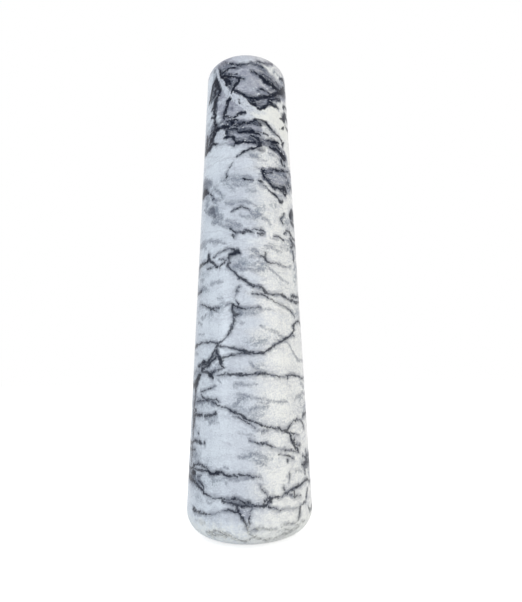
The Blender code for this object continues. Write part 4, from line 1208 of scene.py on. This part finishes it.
# A lavender band down the middle, partly the stone's tone and partly painted shade where the two side lamps
# light it least.
lavender_and_painted_shade = abs(across + clouds.swing(6.0)).rising(*LAVENDER_AND_SHADE_BAND)
colour = marble.mix(lavender_and_painted_shade * 0.22, colour, LAVENDER)
haze = clouds.rising(0.5, 1.0) * 0.12 + streaks.rising(0.5, 1.0) * 0.08
haze = haze + crystals * 0.2 + specks * 0.42 - 0.13
colour = marble.mix(haze, colour, CLOUD_GREY)
height_here = marble.component(place, "Z")
clouded_beds = height_here.rising(*CLOUDED_ABOVE) * height_here.rising(*CLOUDED_BELOW)
clouded_haze = clouded_beds * (1.0 - side * 0.6) * (streaks * 0.22 + fibres * 0.18 + grains * 0.1)
colour = marble.mix(clouded_haze, colour, CLOUD_GREY)
# Painted shade: the stone is greyed towards the left edge, where the light falls off.
painted_shade_left_edge = across.rising(*PAINTED_SHADE_LEFT_EDGE)
colour = marble.mix(painted_shade_left_edge * 0.22, colour, CLOUD_GREY)
clear = (beds(white_beds) + streaks.swing(1.8) + grains.swing(1.5)).rising(*WHITE_BED_EDGE)
colour = marble.mix(clear * 0.5, colour, marble.mix(side, BLUISH_WHITE_AND_PAINTED_COOL_LIGHT, CREAM_WHITE_AND_PAINTED_WARM_LIGHT))

# Grey patches keep flecks of white crystal, and cloudy ones are no more than smudges.
grey_edge = streaks.swing(1.2) + grains.swing(1.0)
mottled = (grains * 0.3 + crystals * 0.2 + fibres * 0.3 + specks * 0.2).rising(0.15, 0.85)
patch = (beds(patch_beds) + grey_edge).rising(*PATCH_EDGE)
colour = marble.mix(patch * (mottled * 0.75 + 0.4), colour, PATCH_GREY)
smudge = (grains * 0.45 + streaks * 0.25 + specks * 0.3).rising(0.25, 0.75)
cloudy = (beds(cloudy_beds) + grey_edge * 1.5).rising(*CLOUDY_EDGE)
colour = marble.mix(cloudy * (smudge * 0.85 + 0.1), colour, CLOUDY_GREY)

# The stone is greyer near a dark vein, and wisps of smoke and fine threads run through it.
dark = beds(dark_beds).least(risers(dark_risers))
round_vein = dark.rising(*WIDE_HALO_EDGE) * fibres.rising(0.2, 0.9)
colour = marble.mix(round_vein * 0.35, colour, PATCH_GREY)
near_vein = dark.rising(*HALO_EDGE) * (grains * 0.45 + streaks * 0.3 + 0.2)
colour = marble.mix(near_vein, colour, HALO)

smoke = (beds(smoky_beds) + grey_edge).rising(*SMOKY_EDGE)
wisps = (fibres * 0.35 + crystals * 0.2 + grains * 0.25 + specks * 0.2).rising(0.15, 0.8)
colour = marble.mix(smoke * (wisps * 0.5 + 0.5), colour, SMOKE)

thread = abs(streaks - NOISE_MIDDLE).rising(0.07, 0.0)
thread_share = clouds.rising(0.3, 0.8) * 0.25 + patch * 0.6 + 0.05
colour = marble.mix(thread * thread_share, colour, GREY_VEIN)
fleck = specks.rising(0.6, 1.0) * crystals.rising(0.5, 1.0) * (patch * 0.7 + 0.3)
colour = marble.mix(fleck, colour, FLECK_WHITE)

# Chalk fills the seam, and the grey and dark veins cross everything.
seam = (beds(seams) + specks.swing(0.8)).rising(*SEAM_EDGE)
# The chalk's bluish and creamy sides are partly painted light, as on the ground.
chalk = marble.mix(side, CHALK_WHITE, CHALK_CREAM)
chalk = marble.mix(crystals.rising(0.3, 1.0) * (0.5 - side * 0.35), chalk, CLOUD_GREY)
chalk = marble.mix(specks.rising(0.6, 1.0) * (0.6 - side * 0.5), chalk, HALO)
colour = marble.mix(seam, colour, chalk)

grey_vein = beds(grey_vein_beds) + grains.swing(0.7)
colour = marble.mix(grey_vein.rising(*GREY_VEIN_EDGE) * (specks * 0.4 + 0.4), colour, GREY_VEIN)

frayed = dark + specks.swing(0.55) + grains.swing(0.5)
inkier = height_here.rising(*INKIER_ABOVE)
ink = frayed.rising(*DARK_VEIN_EDGE) * (0.74 + fibres * 0.14 + inkier * 0.12)
colour = marble.mix(ink, colour, DARK_VEIN_INK)

# The grinding end is worn dull and whitened, partly its own worn stone and partly painted light from the
# floor below, and the narrow end is greyer, with veins of its own across its face.
worn_end_and_painted_floor_light = (height_here + grains.swing(3.0)).rising(*WORN_END_AND_PAINTED_LIGHT_BELOW)
colour = marble.mix(worn_end_and_painted_floor_light * (crystals * 0.45 + 0.25), colour, END_WHITE_AND_PAINTED_FLOOR_LIGHT)
cap = (height_here + grains.swing(1.0)).rising(*CAP_ABOVE)
colour = marble.mix(cap * (specks * 0.3 + crystals * 0.25 + 0.12), colour, LAVENDER)
top_face = (height_here + grains.swing(0.6)).rising(*TOP_FACE_ABOVE)
top_bend = marble.mottle(place, grain=11.0, detail=3.0, roughness=0.55)
top_vein = abs(top_bend - NOISE_MIDDLE).rising(0.07, 0.01) * (grains * 0.4 + 0.6)
colour = marble.mix(top_face * top_vein, colour, DARK_VEIN_INK)
top_cloud = clouds.rising(0.45, 0.8) * (smudge * 0.6 + 0.3)
colour = marble.mix(top_face * top_cloud, colour, CLOUDY_GREY)

# The polish
roughness = 0.22 + grains * 0.08 + worn_end_and_painted_floor_light * 0.35 + seam * 0.08
bump_height = specks * (worn_end_and_painted_floor_light * 0.9 + 0.1)
bump_sockets = {"Height": bump_height, "Strength": 0.12, "Distance": 0.3 * MM}
normal = marble.node("ShaderNodeBump", {}, bump_sockets)
surface_sockets = {"Base Color": colour, "Roughness": roughness, "Normal": normal}
surface_sockets["Specular IOR Level"] = 0.08
marble.finish(marble.node("ShaderNodeBsdfPrincipled", {}, surface_sockets))

body_mesh.materials.append(marble.owner)
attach(pestle, "root")
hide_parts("pestle")


# The setting. The pestle stands on a matt pale floor, which keeps its soft shadow, in a white surround. Two
# large soft lamps light it from the front, one to the left like a window and a wider, warmer one to the
# right. Nothing here belongs to the object.
FLOOR_HALF_WIDTH = 1.5
FLOOR_GAP = 0.02 * MM
FLOOR_PALE = (0.9, 0.9, 0.9, 1)
FLOOR_GLOW = 0.6
SURROUND_WHITE = (1, 1, 1, 1)
SURROUND_LIGHT = 0.56

floor_mesh = bpy.data.meshes.new("floor")
sides = ((-1, -1), (1, -1), (1, 1), (-1, 1))
corners = [(x * FLOOR_HALF_WIDTH, y * FLOOR_HALF_WIDTH, 0) for x, y in sides]
floor_mesh.from_pydata(corners, [], [(0, 1, 2, 3)])
floor = bpy.data.objects.new("floor", floor_mesh)
floor.location.z = cad_low.z - FLOOR_GAP
bpy.context.scene.collection.objects.link(floor)


def seen_white(shader):
    """1 where the surround is looked at, straight on, in a reflection or through glass, and else 0."""
    seen = shader.node("ShaderNodeLightPath", {}, {}, output="Is Camera Ray")
    for ray in ("Is Glossy Ray", "Is Transmission Ray"):
        seen = seen.math("MAXIMUM", seen, shader.node("ShaderNodeLightPath", {}, {}, output=ray))
    return seen


paper = Shader(bpy.data.materials.new("pale_floor"))
matt = paper.node("ShaderNodeBsdfDiffuse", {}, {"Color": FLOOR_PALE})
glow_sockets = {"Color": SURROUND_WHITE, "Strength": seen_white(paper) * FLOOR_GLOW}
glow = paper.node("ShaderNodeEmission", {}, glow_sockets)
paper.finish(paper.node("ShaderNodeAddShader", {}, {0: matt, 1: glow}))
floor_mesh.materials.append(paper.owner)

sky = Shader(bpy.data.worlds.new("white_surround"))
bpy.context.scene.world = sky.owner
brightness = seen_white(sky) * (1.0 - SURROUND_LIGHT) + SURROUND_LIGHT
backdrop = sky.node("ShaderNodeBackground", {}, {"Color": SURROUND_WHITE, "Strength": brightness})
sky.finish(backdrop, "ShaderNodeOutputWorld")


def soft_light(name, place, size, power, colour):
    """A lamp that faces the pestle's middle. Its place and size are in metres and its power in watts."""
    data = bpy.data.lights.new(name, "AREA")
    data.shape = "RECTANGLE"
    data.size, data.size_y = size
    data.energy = power
    data.color = colour
    light = bpy.data.objects.new(name, data)
    light.location = place
    light.rotation_euler = (middle - Vector(place)).to_track_quat("-Z", "Y").to_euler()
    bpy.context.scene.collection.objects.link(light)


COOL_DAYLIGHT = (0.90, 0.96, 1.0)
WARM_ROOM = (1.0, 0.98, 0.95)
soft_light("window_light", place=(-0.66, -0.59, 0.10), size=(0.16, 0.4), power=3.16, colour=COOL_DAYLIGHT)
soft_light("room_light", place=(0.64, -0.60, 0.10), size=(0.45, 0.6), power=4.28, colour=WARM_ROOM)

bpy.context.scene.view_settings.view_transform = "Standard"
